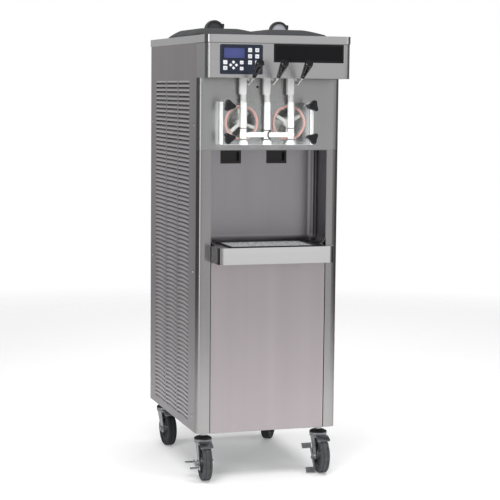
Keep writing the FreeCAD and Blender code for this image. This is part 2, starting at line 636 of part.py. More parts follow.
def build_freezer_door():
    """Clear block bored for three spigots, joined by ports and a cross channel, dished behind each barrel."""
    block = box("door_block", "freezer_centre - freezer_door_half", "freezer_door_front",
                "freezer_door_bottom", "2 * freezer_door_half", "-freezer_door_front - seal_thick",
                "freezer_door_top - freezer_door_bottom")
    rounded = fillet("door_rounded", block, 4.0, lambda edge: edge.BoundBox.YMax < -20 - sizes.origin_y)
    tools = []
    for side, x in SPIGOT_PLACES.items():
        tools.append(cylinder(f"{side}_spigot_bore", x, "spigot_depth", "freezer_door_bottom - 1",
                              "spigot_radius + running_gap", "200"))
        tools.append(cylinder(f"{side}_cap_seat", x, "spigot_depth", "freezer_door_bottom - 1",
                              "cap_radius + 0.2", "spigot_bottom - freezer_door_bottom + 0.9"))
    for side, x in BARREL_PLACES.items():
        tools.append(cylinder(f"{side}_dish", x, "-seal_thick - 5", "barrel_height", "barrel_bore - 1", "20",
                              "y"))
        tools.append(cylinder(f"{side}_port", x, "spigot_depth", "spigot_bottom + 20", "7", "40", "y"))
    tools.append(cylinder("cross_channel", BARREL_PLACES["left"], "spigot_depth", "spigot_bottom + 20", "8",
                          "2 * barrel_offset", "x"))
    for name, (x, z) in STUD_PLACES.items():
        tools.append(cylinder(f"{name}_door_hole", x, "-60", z, "stud_radius + 0.5", "80", "y"))
    return keep(cut("freezer_door", rounded, *tools), "freezer_door")


def build_door_studs():
    """Four studs that carry the door, each with a nut behind the front panel."""
    studs = []
    for name, (x, z) in STUD_PLACES.items():
        rod = cylinder(f"{name}_rod", x, "knob_back - 8", z, "stud_radius", "12 - knob_back + 8", "y")
        nut = cylinder(f"{name}_nut", x, "gauge + 0.1", z, "9", "6", "y")
        studs.append(fuse(f"{name}_stud", rod, nut))
    return keep(group("door_studs", *studs), "door_studs")


def build_door_knob(name):
    """Three-lobed hand knob with a round shank and a blind bore for its stud."""
    x, z = STUD_PLACES[name]
    pieces = [
        cylinder(f"{name}_shank", x, "knob_back - 1", z, "9", "freezer_door_front - knob_back + 0.6", "y"),
        cylinder(f"{name}_core", x, "knob_face", z, "knob_core", "knob_back - knob_face", "y"),
    ]
    for i in range(3):
        angle = KNOB_TURNS[name] + 120 * i
        reach = "(knob_reach - knob_lobe)"
        pieces.append(cylinder(f"{name}_lobe_{i}", f"{x} + {reach} * {math.cos(math.radians(angle)):.6f}",
                               "knob_face", f"{z} + {reach} * {math.sin(math.radians(angle)):.6f}",
                               "knob_lobe", "knob_back - knob_face", "y"))
    bore = cylinder(f"{name}_bore", x, "knob_back - 12", z, "stud_radius + running_gap", "60", "y")
    label = f"{name}_knob"
    return keep(cut(label, fuse(f"{name}_knob_solid", *pieces), bore), label)


def build_spigot(side):
    """White draw plunger: round in the door, a ribbed neck, and a square block with the handle's slot."""
    x = SPIGOT_PLACES[side]
    y = "spigot_depth"
    stem = cylinder(f"{side}_plunger", x, y, "spigot_bottom", "spigot_radius",
                    "freezer_door_top - spigot_bottom")
    neck = cylinder(f"{side}_neck", x, y, "freezer_door_top", "spigot_neck",
                    "block_bottom - freezer_door_top")
    ribs = [cone(f"{side}_rib_{i}", x, y, f"freezer_door_top + 3 + {i} * 5.5", "spigot_neck + 2",
                 "spigot_neck", "4") for i in range(4)]
    block = box(f"{side}_block", f"{x} - block_left", f"{y} - block_half", "block_bottom",
                "block_left + block_right", "2 * block_half", "block_top - block_bottom")
    slot = box(f"{side}_slot", f"{x} - arm_radius - 1", f"{y} - 2 * block_half", "pivot_height - slot_below",
               "2 * arm_radius + 2", "4 * block_half", "slot_below + slot_above")
    grooves = [torus(f"{side}_groove_{i}", x, y, f"{z}", "spigot_radius", "1.2")
               for i, z in enumerate(SEAL_LEVELS[side])]
    return keep(cut(f"{side}_spigot", fuse(f"{side}_spigot_solid", stem, neck, *ribs, block), slot, *grooves),
                f"{side}_spigot")


def build_spout_caps():
    """Three flared caps set into the underside of the door below the plungers."""
    caps = []
    for side, x in SPIGOT_PLACES.items():
        flare = cone(f"{side}_flare", x, "spigot_depth", "freezer_door_bottom - 1", "cap_radius",
                     "spigot_radius + 1", "spigot_bottom - freezer_door_bottom + 0.5")
        hole = cylinder(f"{side}_cap_bore", x, "spigot_depth", "freezer_door_bottom - 5", "cap_bore", "40")
        caps.append(cut(f"{side}_cap", flare, hole))
    return keep(group("spout_caps", *caps), "spout_caps")


# ---------------------------------------------------------------- draw handles
def build_handle_bracket():
    """Pivot rod of the three handles with its ears and the plate that hangs it inside the header."""
    left, right = "freezer_centre - barrel_offset - 32", "freezer_centre + barrel_offset + 29"
    plate = box("bracket_plate", left, "gauge - header_overhang + 0.1", "pivot_height - 10",
                f"{right} - ({left}) + 3", "2", "34")
    ears = [box(f"{side}_ear", x, "gauge - header_overhang + 0.1", "pivot_height - 10", "3",
                "pivot_depth + header_overhang + 8", "20") for side, x in (("left", left), ("right", right))]
    rod = cylinder("pivot_rod", left, "pivot_depth", "pivot_height", "pivot_radius",
                   f"{right} - ({left}) + 3", "x")
    collars = []
    for side, x in SPIGOT_PLACES.items():
        for hand, shift in (("inner", "hub_width / 2 + 0.4"), ("outer", "-hub_width / 2 - 5.4")):
            collars.append(cylinder(f"{side}_{hand}_collar", f"{x} + {shift}", "pivot_depth", "pivot_height",
                                    "8", "5", "x"))
    return keep(fuse("handle_bracket", plate, *ears, rod, *collars), "handle_bracket")


def handle_points(x):
    """Rod corners in the handle's own plane: under the hub, the bend, the grip's foot and the grip's tip."""
    return [Vector(x, sizes.pivot_depth - 2, sizes.pivot_height - sizes.hub_radius + 2),
            Vector(x, sizes.bend_depth, sizes.bend_height),
            Vector(x, sizes.grip_depth, sizes.grip_height),
            Vector(x, sizes.tip_depth, sizes.tip_height)]


def grip_frame(x):
    """Foot point and unit direction of a grip's axis."""
    foot, tip = handle_points(x)[2:]
    return foot, (tip - foot).normalize(), (tip - foot).Length


def spigot_x(side):
    steps = {"left": -1, "centre": 0, "right": 1}
    return sizes.freezer_centre + steps[side] * sizes.barrel_offset


def handle_rod(x):
    """The bent rod from under the hub to a little past the middle of the grip."""
    start, bend, foot = handle_points(x)[:3]
    along, length = grip_frame(x)[1:]
    return bent_rod([start, bend, foot, foot + along * 0.55 * length], 14.0, sizes.rod_radius)


def build_draw_handle(side):
    """Bent stainless rod with a hub on the pivot and an inner arm that lifts the plunger."""
    x = spigot_x(side)
    hub_start = Vector(x - sizes.hub_width / 2, sizes.pivot_depth, sizes.pivot_height)
    hub = Part.makeCylinder(sizes.hub_radius, sizes.hub_width, hub_start, Vector(1, 0, 0))
    arm = Part.makeCylinder(sizes.arm_radius, sizes.spigot_depth - sizes.pivot_depth + 9,
                            Vector(x, sizes.pivot_depth, sizes.pivot_height), Vector(0, 1, 0))
    bore = Part.makeCylinder(sizes.pivot_radius + sizes.running_gap, sizes.hub_width + 2,
                             hub_start - Vector(1, 0, 0), Vector(1, 0, 0))
    handle = hub.fuse([handle_rod(x), arm]).cut(bore)
    return keep(shape_part(f"{side}_draw_handle", handle), f"{side}_draw_handle")


def build_handle_grip(side):
    """Black grip, narrow at its foot and wide at its rounded end, pushed over the end of the rod."""
    x = spigot_x(side)
    foot, along, length = grip_frame(x)
    body = Part.makeCone(sizes.grip_small, sizes.grip_large, length, foot, along)
    end = max(body.Edges, key=lambda edge: edge.Length if edge.Closed else 0)
    grip = body.makeFillet(5.0, [end]).cut(handle_rod(x))
    return keep(shape_part(f"{side}_handle_grip", grip), f"{side}_handle_grip")


# ---------------------------------------------------------------- control panel and name plate
def header_plate(name, left, low, width, height, thick):
    """A thin plate lying on the front of the header."""
    return box(name, left, f"-header_overhang - {thick}", low, width, thick, height)


def build_keypad_overlay():
    """Membrane keypad with rounded corners and an opening for the display."""
    plate = header_plate("overlay_plate", "panel_left", "panel_bottom", "panel_width", "panel_height",
                         "panel_thick")
    rounded = fillet("overlay_rounded", plate, 6.0, lambda edge: edge.Length < 2)
    window = box("overlay_window", "window_left", "-header_overhang - 5", "window_bottom", "window_width",
                 "10", "window_height")
    return keep(cut("keypad_overlay", rounded, window), "keypad_overlay")


def build_display_window():
    """Clear-fronted display module set in the keypad's opening."""
    window = box("window_plate", "window_left + 0.2", "-header_overhang - 1", "window_bottom + 0.2",
                 "window_width - 0.4", "1", "window_height - 0.4")
    return keep(window, "display_window")


def build_name_plate():
    """Blank dark plate with softened front edges."""
    plate = header_plate("plate_blank", "plate_left", "plate_bottom", "plate_width", "plate_height",
                         "plate_thick")
    front = -sizes.header_overhang - sizes.plate_thick - sizes.origin_y
    rounded = fillet("name_plate", plate, 0.8, lambda edge: edge.BoundBox.YMax < front + 0.1)
    return keep(rounded, "name_plate")


def build_control_box():
    """Electronics box behind the keypad with two rows of vents in its top."""
    case = box("control_case", "panel_left + 4", "gauge - header_overhang + 0.1", "panel_bottom + 32",
               "panel_width - 8", "38", "66")
    vents = [box(f"control_vent_{i}", f"panel_left + 20 + {i} * 14", "20 - header_overhang",
                 "panel_bottom + 94", "6", "14", "10") for i in range(8)]
    return keep(cut("control_box", case, *vents), "control_box")


# ---------------------------------------------------------------- hoppers and lids
def build_mix_hoppers():
    """Two open stainless pans with a flat rim, hung in the top deck above the barrels."""
    pans = []
    for side, sign in HOPPER_SIGNS.items():
        left = f"{sign}hopper_centre - hopper_width / 2"
        bottom = "cabinet_top - hopper_depth"
        wall = rounded_block(f"{side}_hopper_wall", left, "hopper_front", bottom, "hopper_width",
                             "hopper_length", "hopper_depth + 1.2", "hopper_corner")
        rim = rounded_block(f"{side}_hopper_rim", f"{left} - hopper_rim", "hopper_front - hopper_rim",
                            "cabinet_top", "hopper_width + 2 * hopper_rim", "hopper_length + 2 * hopper_rim",
                            "1.2", "hopper_corner + hopper_rim")
        inside = rounded_block(f"{side}_hopper_inside", f"{left} + gauge", "hopper_front + gauge",
                               f"{bottom} + gauge", "hopper_width - 2 * gauge", "hopper_length - 2 * gauge",
                               "hopper_depth + 5", "hopper_corner - gauge")
        drain = cylinder(f"{side}_hopper_drain", BARREL_PLACES[side], "hopper_front + 25", f"{bottom} - 5",
                         "6", "20")
        pans.append(cut(f"{side}_hopper", fuse(f"{side}_hopper_solid", wall, rim), inside, drain))
    return keep(group("mix_hoppers", *pans), "mix_hoppers")


def rounded_wire(centre, width, depth, radius):
    """A flat rectangle with arc corners, centred on a point."""
    x, y = width / 2 - radius, depth / 2 - radius
    edges = []
    for i, (sx, sy) in enumerate(((1, -1), (1, 1), (-1, 1), (-1, -1))):
        middle = centre + Vector(sx * x, sy * y, 0)
        start = math.radians(90 * i - 90)
        points = [middle + Vector(radius * math.cos(start + turn), radius * math.sin(start + turn), 0)
                  for turn in (0, math.pi / 4, math.pi / 2)]
        edges.append(Part.Arc(*points).toShape())
    sides = [Part.makeLine(edges[i].Vertexes[1].Point, edges[(i + 1) % 4].Vertexes[0].Point)
             for i in range(4)]
    ordered = [edge for pair in zip(edges, sides) for edge in pair]
    return Part.Wire(ordered)


def build_hopper_lid(side):
    """Moulded lid: upright edge, long crowned slopes to a flat top, and a half-round grip standing on it."""
    x = sizes.hopper_centre * (1 if side == "right" else -1)
    y = sizes.lid_front + sizes.lid_length / 2
    low = sizes.cabinet_top + 0.1

    def crown(shrink, base):
        lengths = [(0, 0, 0), (sizes.lid_edge - 3, 2, 2), (sizes.lid_edge, 8, 8), (sizes.lid_height, 96, 130)]
        wires = []
        for rise, less_x, less_y in lengths:
            shift = -sizes.lid_top_shift * rise / sizes.lid_height if less_x > 50 else 0.0
            wires.append(rounded_wire(Vector(x + shift, y, base + max(rise - shrink, 0)),
                                      sizes.lid_width - less_x - 2 * shrink,
                                      sizes.lid_length - less_y - 2 * shrink, sizes.lid_corner - shrink))
        return Part.makeLoft(wires, True, True)

    lid = crown(0.0, low).cut(crown(sizes.lid_wall, low - 0.01))
    lid = lid.cut(Part.makeBox(300, 500, 5, Vector(x - 150, sizes.lid_front - 20, low - 5)))
    thick, radius = sizes.lid_handle_thick, sizes.lid_handle_radius
    centre = Vector(x, y - thick / 2, low + sizes.lid_height - 1)
    grip = Part.makeCylinder(radius, thick, centre, Vector(0, 1, 0))
    for start in (centre - Vector(0, 1, 0), centre + Vector(0, thick - 5, 0)):
        grip = grip.cut(Part.makeCylinder(radius - 7, 6, start, Vector(0, 1, 0)))
    grip = grip.fuse(Part.makeBox(12, 10, 12, centre + Vector(radius - 10, thick / 2 - 5, 13)))
    grip = grip.cut(Part.makeBox(4 * radius, 4 * radius, 2 * radius,
                                 centre + Vector(-2 * radius, -2 * radius, -2 * radius + 0.6)))
    label = f"{side}_hopper_lid"
    return keep(shape_part(label, lid.fuse(grip).removeSplitter()), label)


# ---------------------------------------------------------------- augers and drive
def build_auger(side):
    """Dasher: a central shaft, three-armed spiders along it and three scraper bars near the barrel wall."""
    x = spigot_x(side)
    z = sizes.barrel_height
    reach = sizes.auger_reach
    end = sizes.barrel_length - 16
    pieces = [Part.makeCylinder(sizes.shaft_radius, sizes.gearbox_front + 16 - 6, Vector(x, 6, z),
                                Vector(0, 1, 0)),
              Part.makeCylinder(sizes.shaft_radius + 6, 16, Vector(x, 2, z), Vector(0, 1, 0))]
    for i in range(3):
        turn = Rotation(Vector(0, 1, 0), -(AUGER_TURNS[side] + 120 * i))
        flight = Part.makeBox(8, end, 11, Vector(reach - 9, 4, -5.5))
        arms = [Part.makeBox(reach - 4, 9, 11, Vector(0, 4 + j * (end - 9) / 4, -5.5)) for j in range(5)]
        for piece in [flight] + arms:
            piece.Placement = Placement(Vector(x, 0, z), turn).multiply(piece.Placement)
            pieces.append(piece)
    limit = Part.makeCylinder(reach, 600, Vector(x, 0, z), Vector(0, 1, 0))
    label = f"{side}_auger"
    return keep(shape_part(label, pieces[0].fuse(pieces[1:]).common(limit)), label)


def build_gear_motors():
    """Two gear motors on the drive deck, each gearbox bored for its auger's shaft."""
    units = []
    for side, x in BARREL_PLACES.items():
        gearbox = box(f"{side}_gearbox", f"{x} - gearbox_size / 2", "gearbox_front",
                      "barrel_height - gearbox_size / 2", "gearbox_size", "gearbox_length", "gearbox_size")
        rounded = fillet(f"{side}_gearbox_rounded", gearbox, 10.0, lambda edge: edge.Length > 100)
        motor = cylinder(f"{side}_motor", x, "gearbox_front + gearbox_length", "barrel_height",
                         "motor_radius", "motor_length", "y")
        fins = [cylinder(f"{side}_motor_fin_{i}", x, f"gearbox_front + gearbox_length + 12 + {i} * 12",
                         "barrel_height", "motor_radius + 2", "4", "y") for i in range(7)]
        foot = box(f"{side}_motor_foot", f"{x} - 45", "gearbox_front + 5", "deck_height + deck_gauge", "90",
                   "80", "barrel_height - gearbox_size / 2 - deck_height - deck_gauge + 5")
        socket = cylinder(f"{side}_socket", x, "gearbox_front - 1", "barrel_height",
                          "shaft_radius + running_gap", "30", "y")
        units.append(cut(f"{side}_gear_motor", fuse(f"{side}_drive", rounded, motor, *fins, foot), socket))
    return keep(group("gear_motors", *units), "gear_motors")


# ---------------------------------------------------------------- refrigeration
def build_compressor():
    """Welded compressor can with a domed top, on four feet."""
    can = cylinder("can", "compressor_x", "compressor_y", "cabinet_bottom + 21", "compressor_radius",
                   "compressor_height")
    domed = fillet("domed_can", can, 38.0, lambda edge: edge.Closed)
    seam = cylinder("can_seam", "compressor_x", "compressor_y", "cabinet_bottom + 115",
                    "compressor_radius + 3", "6")
    base = box("compressor_base", "compressor_x - 85", "compressor_y - 85", "cabinet_bottom + 17", "170",
               "170", "8")
    feet = [cylinder(f"compressor_foot_{i}", f"compressor_x + {sx} * 70", f"compressor_y + {sy} * 70",
                     "cabinet_bottom + 3", "13", "15")
            for i, (sx, sy) in enumerate(((-1, -1), (1, -1), (1, 1), (-1, 1)))]
    return keep(fuse("compressor", domed, seam, base, *feet), "compressor")


def build_condenser():
    """Finned coil with its fan shroud, and the fan motor on a bracket that stands on the pan."""
    coil = box("coil", "-condenser_half", "condenser_front", "condenser_bottom", "2 * condenser_half",
               "condenser_thick", "condenser_height")
    gaps = [box(f"coil_gap_{i}", f"12 - condenser_half + {i} * 15", "condenser_front + 6",
                "condenser_bottom + 12", "11", "condenser_thick", "condenser_height - 24")
            for i in range(24)]
    shroud = cut(
        "shroud",
        box("shroud_plate", "-condenser_half", "condenser_front - 16", "condenser_bottom",
            "2 * condenser_half", "16", "condenser_height"),
        cylinder("shroud_ring", "0", "condenser_front - 20", "fan_height", "fan_radius + 8", "30", "y"),
    )
    stand = box("coil_stand", "-condenser_half", "condenser_front", "cabinet_bottom + 3",
                "2 * condenser_half", "condenser_thick", "condenser_bottom - cabinet_bottom - 3")
    motor = cylinder("fan_motor_case", "0", "condenser_front - 110", "fan_height", "fan_motor_radius", "60",
                     "y")
    shaft = cylinder("fan_motor_shaft", "0", "condenser_front - 60", "fan_height", "6", "36", "y")
    column = box("fan_motor_column", "-25", "condenser_front - 100", "cabinet_bottom + 3", "50", "40",
                 "fan_height - cabinet_bottom - 3 - fan_motor_radius / 2")
    unit = cut("coil_unit", fuse("coil_solid", coil, shroud, stand), *gaps)
    return keep(group("condenser", unit, fuse("fan_motor", motor, shaft, column)), "condenser")


def build_condenser_fan():
    """Fan with a hub and five pitched blades, turning in the shroud's ring."""
    centre = Vector(0, sizes.condenser_front - sizes.fan_setback, sizes.fan_height)
    hub = Part.makeCylinder(34, 24, centre - Vector(0, 14, 0), Vector(0, 1, 0))
    blades = []
    for i in range(FAN_BLADES):
        blade = Part.makeBox(sizes.fan_radius - 30, 3, sizes.fan_chord,
                             Vector(30, -1.5, -sizes.fan_chord / 2))
        blade.Placement = Placement(centre, Rotation(Vector(0, 1, 0), 360 / FAN_BLADES * i)).multiply(
            Placement(Vector(), Rotation(Vector(1, 0, 0), FAN_PITCH)))
        blades.append(blade)
    limit = Part.makeCylinder(sizes.fan_radius, 60, centre - Vector(0, 30, 0), Vector(0, 1, 0))
    bore = Part.makeCylinder(6 + sizes.running_gap, 60, centre - Vector(0, 30, 0), Vector(0, 1, 0))
    fan = hub.fuse(blades).common(limit).cut(bore)
    return keep(shape_part("condenser_fan", fan), "condenser_fan")


def build_refrigerant_lines():
    """Discharge, liquid and suction pipes between compressor, condenser and barrels."""
    radius, bend = sizes.line_radius, 25.0
    top = sizes.cabinet_bottom + 21 + sizes.compressor_height + 1
    coil_top = sizes.condenser_bottom + sizes.condenser_height + 1
    coil_y = sizes.condenser_front + sizes.condenser_thick / 2
    middle, wall = sizes.freezer_centre, sizes.barrel_offset - sizes.barrel_outer - 1
    discharge = bent_rod([Vector(sizes.compressor_x, sizes.compressor_y, top),
                          Vector(sizes.compressor_x, sizes.compressor_y, 700),
                          Vector(sizes.compressor_x, coil_y, 700),
                          Vector(sizes.compressor_x, coil_y, coil_top)], bend, radius)

    def branch(y):
        start = Vector(middle - wall, y, sizes.barrel_height)
        return Part.makeCylinder(radius, 2 * wall, start, Vector(1, 0, 0))

    liquid = bent_rod([Vector(-150, coil_y, coil_top), Vector(-150, coil_y, 900),
                       Vector(middle, coil_y, 900), Vector(middle, sizes.line_back, 900),
                       Vector(middle, sizes.line_back, sizes.barrel_height)], bend, radius)
    suction_x = sizes.compressor_x - 35
    suction = bent_rod([Vector(middle, sizes.line_front, sizes.barrel_height),
                        Vector(middle, sizes.line_front, 620), Vector(suction_x, sizes.line_front, 620),
                        Vector(suction_x, sizes.compressor_y, 620),
                        Vector(suction_x, sizes.compressor_y, top)], bend, radius)
    pipes = [discharge, liquid.fuse(branch(sizes.line_back)), suction.fuse(branch(sizes.line_front))]
    return keep(shape_part("refrigerant_lines", Part.makeCompound(pipes)), "refrigerant_lines")


def build_cord_gland():
    """Round gland in the rear panel that the supply cord passes through."""
    body = fuse(
        "gland_body",
        cylinder("gland_tube", "cord_x", "cabinet_depth - gauge - 8", "cord_height", "cord_bore + 2.8",
                 "cord_length - 1", "y"),
        cylinder("gland_flange", "cord_x", "cabinet_depth + 0.2", "cord_height", "cord_bore + 8",
                 "cord_length - gauge - 8.2", "y"),
    )
    bore = cylinder("gland_bore", "cord_x", "cabinet_depth - 40", "cord_height", "cord_bore", "80", "y")
    return keep(cut("cord_gland", body, bore), "cord_gland")


# ---------------------------------------------------------------- fasteners and casters
def build_panel_screws():
    """Pan-head screws that hold the side panels."""
    screws = []
    for side, sign in (("left", -1), ("right", 1)):
        for end in ("front", "back"):
            for level in range(3):
                z = f"screw_low + {level} * screw_step"
                head_x = "cabinet_width / 2" if sign > 0 else "-cabinet_width / 2 - 2.5"
                shank_x = "cabinet_width / 2 - 7.5" if sign > 0 else "-cabinet_width / 2 - 1"
                name = f"{side}_{end}_screw_{level}"
                head = cylinder(f"{name}_head", head_x, f"screw_{end}", z, "5", "2.5", "x")
                shank = cylinder(f"{name}_shank", shank_x, f"screw_{end}", z, "2.4", "8.5", "x")
                screws.append(fuse(name, head, shank))
    return keep(group("panel_screws", *screws), "panel_screws")


def build_caster_stems():
    """Four threaded stems with their nuts and dust caps; the yokes turn on their lower ends."""
    stems = []
    for name, (x, y) in CASTER_PLACES.items():
        pieces = [
            cylinder(f"{name}_stem", x, y, "yoke_plate + 1", "stem_radius",
                     "cabinet_bottom - yoke_plate + 21"),
            cylinder(f"{name}_washer", x, y, "cabinet_bottom - 4", "14", "4"),
            cylinder(f"{name}_stem_nut", x, y, "cabinet_bottom + 3", "11", "9"),
            cone(f"{name}_dust_cap", x, y, "cap_bottom", "swivel_radius", "swivel_radius - 9",
                 "cap_top - cap_bottom"),
        ]
        stems.append(fuse(f"{name}_stem_set", *pieces))
    return keep(group("caster_stems", *stems), "caster_stems")


def caster_point(name, forward=0.0):
    """The swivel axis's foot, or a point forward of it along the caster's own trail direction."""
    sign = -1 if "left" in name else 1
    x = sign * sizes.caster_x - (sizes.front_stem_shift if "front" in name else 0)
    y = sizes.caster_front if "front" in name else sizes.caster_back
    yaw = math.radians(CASTER_YAWS[name])
    return Vector(x + forward * math.sin(yaw), y - forward * math.cos(yaw), 0)


def build_caster_yoke(name):
    """Swivel plate, two legs and the wheel's bolt; the braked ones have a lug and a pin for the lever."""
    trail, axle = -sizes.caster_trail, sizes.wheel_radius
    gap, gauge = sizes.leg_gap, sizes.leg_gauge
    top, plate = sizes.yoke_top, sizes.yoke_plate
    disc = Part.makeCylinder(sizes.swivel_radius - 1, top - plate, Vector(0, 0, plate))
    bridge = Part.makeBox(2 * (gap + gauge), 50, 4, Vector(-gap - gauge, -26, plate))
    outline = [(24, plate + 2), (-26, plate + 2), (trail - 15, axle + 3), (trail - 12, axle - 10),
               (trail, axle - 15), (trail + 12, axle - 10), (trail + 16, axle)]
    pieces = [bridge]
    for start in (-gap - gauge, gap):
        points = [Vector(start, y, z) for y, z in outline]
        pieces.append(Part.Face(Part.makePolygon(points + points[:1])).extrude(Vector(gauge, 0, 0)))
    pieces.append(Part.makeCylinder(sizes.axle_radius, 60, Vector(-30, trail, axle), Vector(1, 0, 0)))
    for start in (-gap - gauge - 5.5, gap + gauge):
        pieces.append(Part.makeCylinder(7, 5.5, Vector(start, trail, axle), Vector(1, 0, 0)))
    if "front" in name:
        pin_y, pin_z = trail + sizes.brake_y, sizes.brake_height
        pieces.append(Part.makeCylinder(9, gauge, Vector(-gap - gauge, pin_y, pin_z), Vector(1, 0, 0)))
        pieces.append(Part.makeCylinder(4, 10, Vector(-gap - gauge - 7, pin_y, pin_z), Vector(1, 0, 0)))
        pieces.append(Part.makeCylinder(6, 2, Vector(-gap - gauge - 7, pin_y, pin_z), Vector(1, 0, 0)))
    yoke = disc.fuse(pieces)
    yoke = yoke.cut(Part.makeCylinder(sizes.stem_radius + sizes.running_gap, 60, Vector(0, 0, plate - 5)))
    yoke.Placement = Placement(caster_point(name), Rotation(Vector(0, 0, 1), CASTER_YAWS[name]))
    label = f"{name}_caster_yoke"
    return keep(shape_part(label, Part.makeCompound([yoke]).Solids[0]), label)


def build_brake_lever(name):
    """Rocker beside the fork with a turned-out foot pad at each end."""
    gap, gauge = sizes.leg_gap, sizes.leg_gauge
    outer = -gap - gauge - 0.6
    reach, pad_reach = sizes.brake_reach, sizes.brake_pad_reach
    bar = Part.makeBox(3, 2 * reach, 12, Vector(outer - 3, -reach, -6))
    pieces = []
    for start in (-reach, reach - 20):
        pieces.append(Part.makeBox(pad_reach + outer, 20, 2.5, Vector(-pad_reach, start, -1.25)))
    lever = bar.fuse(pieces)
    lever = lever.cut(Part.makeCylinder(4 + sizes.running_gap, 20, Vector(outer - 10, 0, 0), Vector(1, 0, 0)))
    tilt = Placement(Vector(0, sizes.brake_y - sizes.caster_trail, sizes.brake_height),
                     Rotation(Vector(1, 0, 0), BRAKE_TILTS[name]))
    swivel = Placement(caster_point(name), Rotation(Vector(0, 0, 1), CASTER_YAWS[name]))
    lever.Placement = swivel.multiply(tilt)
    label = f"{name}_brake_lever"
    return keep(shape_part(label, lever), label)


def build_caster_wheel(name):
    """Wheel turned from three rings: tread, web and hub."""
    body = doc.addObject("PartDesign::Body", f"{name}_caster_wheel")
    rings = (("tread", "tread_width / 2", "wheel_radius - 22", "wheel_radius"),
             ("web", "6", "15", "wheel_radius - 21"),
             ("hub", "hub_half", "axle_radius + running_gap", "16"))
    for ring, half, inner, outer in rings:
        sketch = new_sketch(body, f"{name}_{ring}_section", "XY_Plane")
        draw_rectangle(sketch, f"-({half})", inner, f"2 * ({half})", f"{outer} - ({inner})")
        turned = body.newObject("PartDesign::Revolution", f"{name}_{ring}")
        turned.Profile = sketch
        turned.ReferenceAxis = ([f for f in body.Origin.OriginFeatures if f.Role == "X_Axis"][0], [""])
        turned.Angle = 360.0
    doc.recompute()
    turned_rings = body.Tip
    edges = [f"Edge{i}" for i, edge in enumerate(turned_rings.Shape.Edges, start=1)
             if edge.Closed and abs(edge.BoundBox.ZLength - 2 * sizes.wheel_radius) < 0.1]
    shoulder = body.newObject("PartDesign::Fillet", f"{name}_shoulder")
    shoulder.Base = (turned_rings, edges)
    shoulder.Radius = 5.0
    spot = caster_point(name, sizes.caster_trail)
    body.Placement = Placement(Vector(spot.x - sizes.origin_x, spot.y - sizes.origin_y, sizes.wheel_radius),
                               Rotation(Vector(0, 0, 1), CASTER_YAWS[name]))
    return keep(body, f"{name}_caster_wheel")


# ---------------------------------------------------------------- assembly, checks and files
def build_everything():
    build_base_frame()
    build_side_panels()
    build_rear_panel()
    build_top_deck()
    build_header_panel()
    build_corner_columns()
    build_freezer_front()
    build_recess_liner()
    build_lower_front_panel()
    build_splash_shelf()
    build_drip_tray()
    build_drip_grid()
    build_freezing_cylinders()
    build_door_seals()
    build_freezer_door()
    build_door_studs()
    build_spout_caps()
    build_handle_bracket()
    build_keypad_overlay()
    build_display_window()
    build_name_plate()
    build_control_box()
    build_mix_hoppers()
    build_gear_motors()
    build_compressor()
    build_condenser()
    build_condenser_fan()
    build_refrigerant_lines()
    build_cord_gland()
    build_panel_screws()
    build_caster_stems()
    for name in STUD_PLACES:
        build_door_knob(name)
    for side in SPIGOT_PLACES:
        build_spigot(side)
        build_draw_handle(side)
        build_handle_grip(side)
    for side in BARREL_PLACES:
        build_auger(side)
        build_hopper_lid(side)
        build_drain_drawer(side)
    for name in CASTER_PLACES:
        build_caster_yoke(name)
        build_caster_wheel(name)
    for name in BRAKE_TILTS:
        build_brake_lever(name)
    doc.recompute()


def check_everything():
    """Stop with a plain message if any object failed or any sub-part has no sound solid."""
    for item in doc.Objects:
        if "Invalid" in item.State or "Error" in item.State:
            raise SystemExit(f"{item.Name} is {item.State}")
    for item in sub_parts:
        shape = item.Shape
        if shape.isNull() or not shape.isValid() or not shape.Solids:
            raise SystemExit(f"{item.Label} has no valid solid")
        if shape.Volume <= 0:
            raise SystemExit(f"{item.Label} has no volume")


def write_files():
    os.makedirs("parts", exist_ok=True)
    for item in sub_parts:
        item.Shape.exportStep(os.path.join("parts", item.Label + ".step"))
    box_all = Part.makeCompound([item.Shape for item in sub_parts]).BoundBox
    print(f"{len(sub_parts)} sub-parts, outline {box_all}")


fill_sheet()
build_everything()
check_everything()
write_files()
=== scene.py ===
"""Looks of the floor-standing two-flavour soft serve machine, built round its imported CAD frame.

Places are cabinet coordinates in millimetres, as in the CAD source: x = 0 is the cabinet's centre
plane, y = 0 the front of the corner columns, z = 0 the floor, and the spouts face -Y.  spot() turns
them into the frame's metres.
"""

import json
import math

import bmesh
import bpy
from mathutils import Matrix, Vector

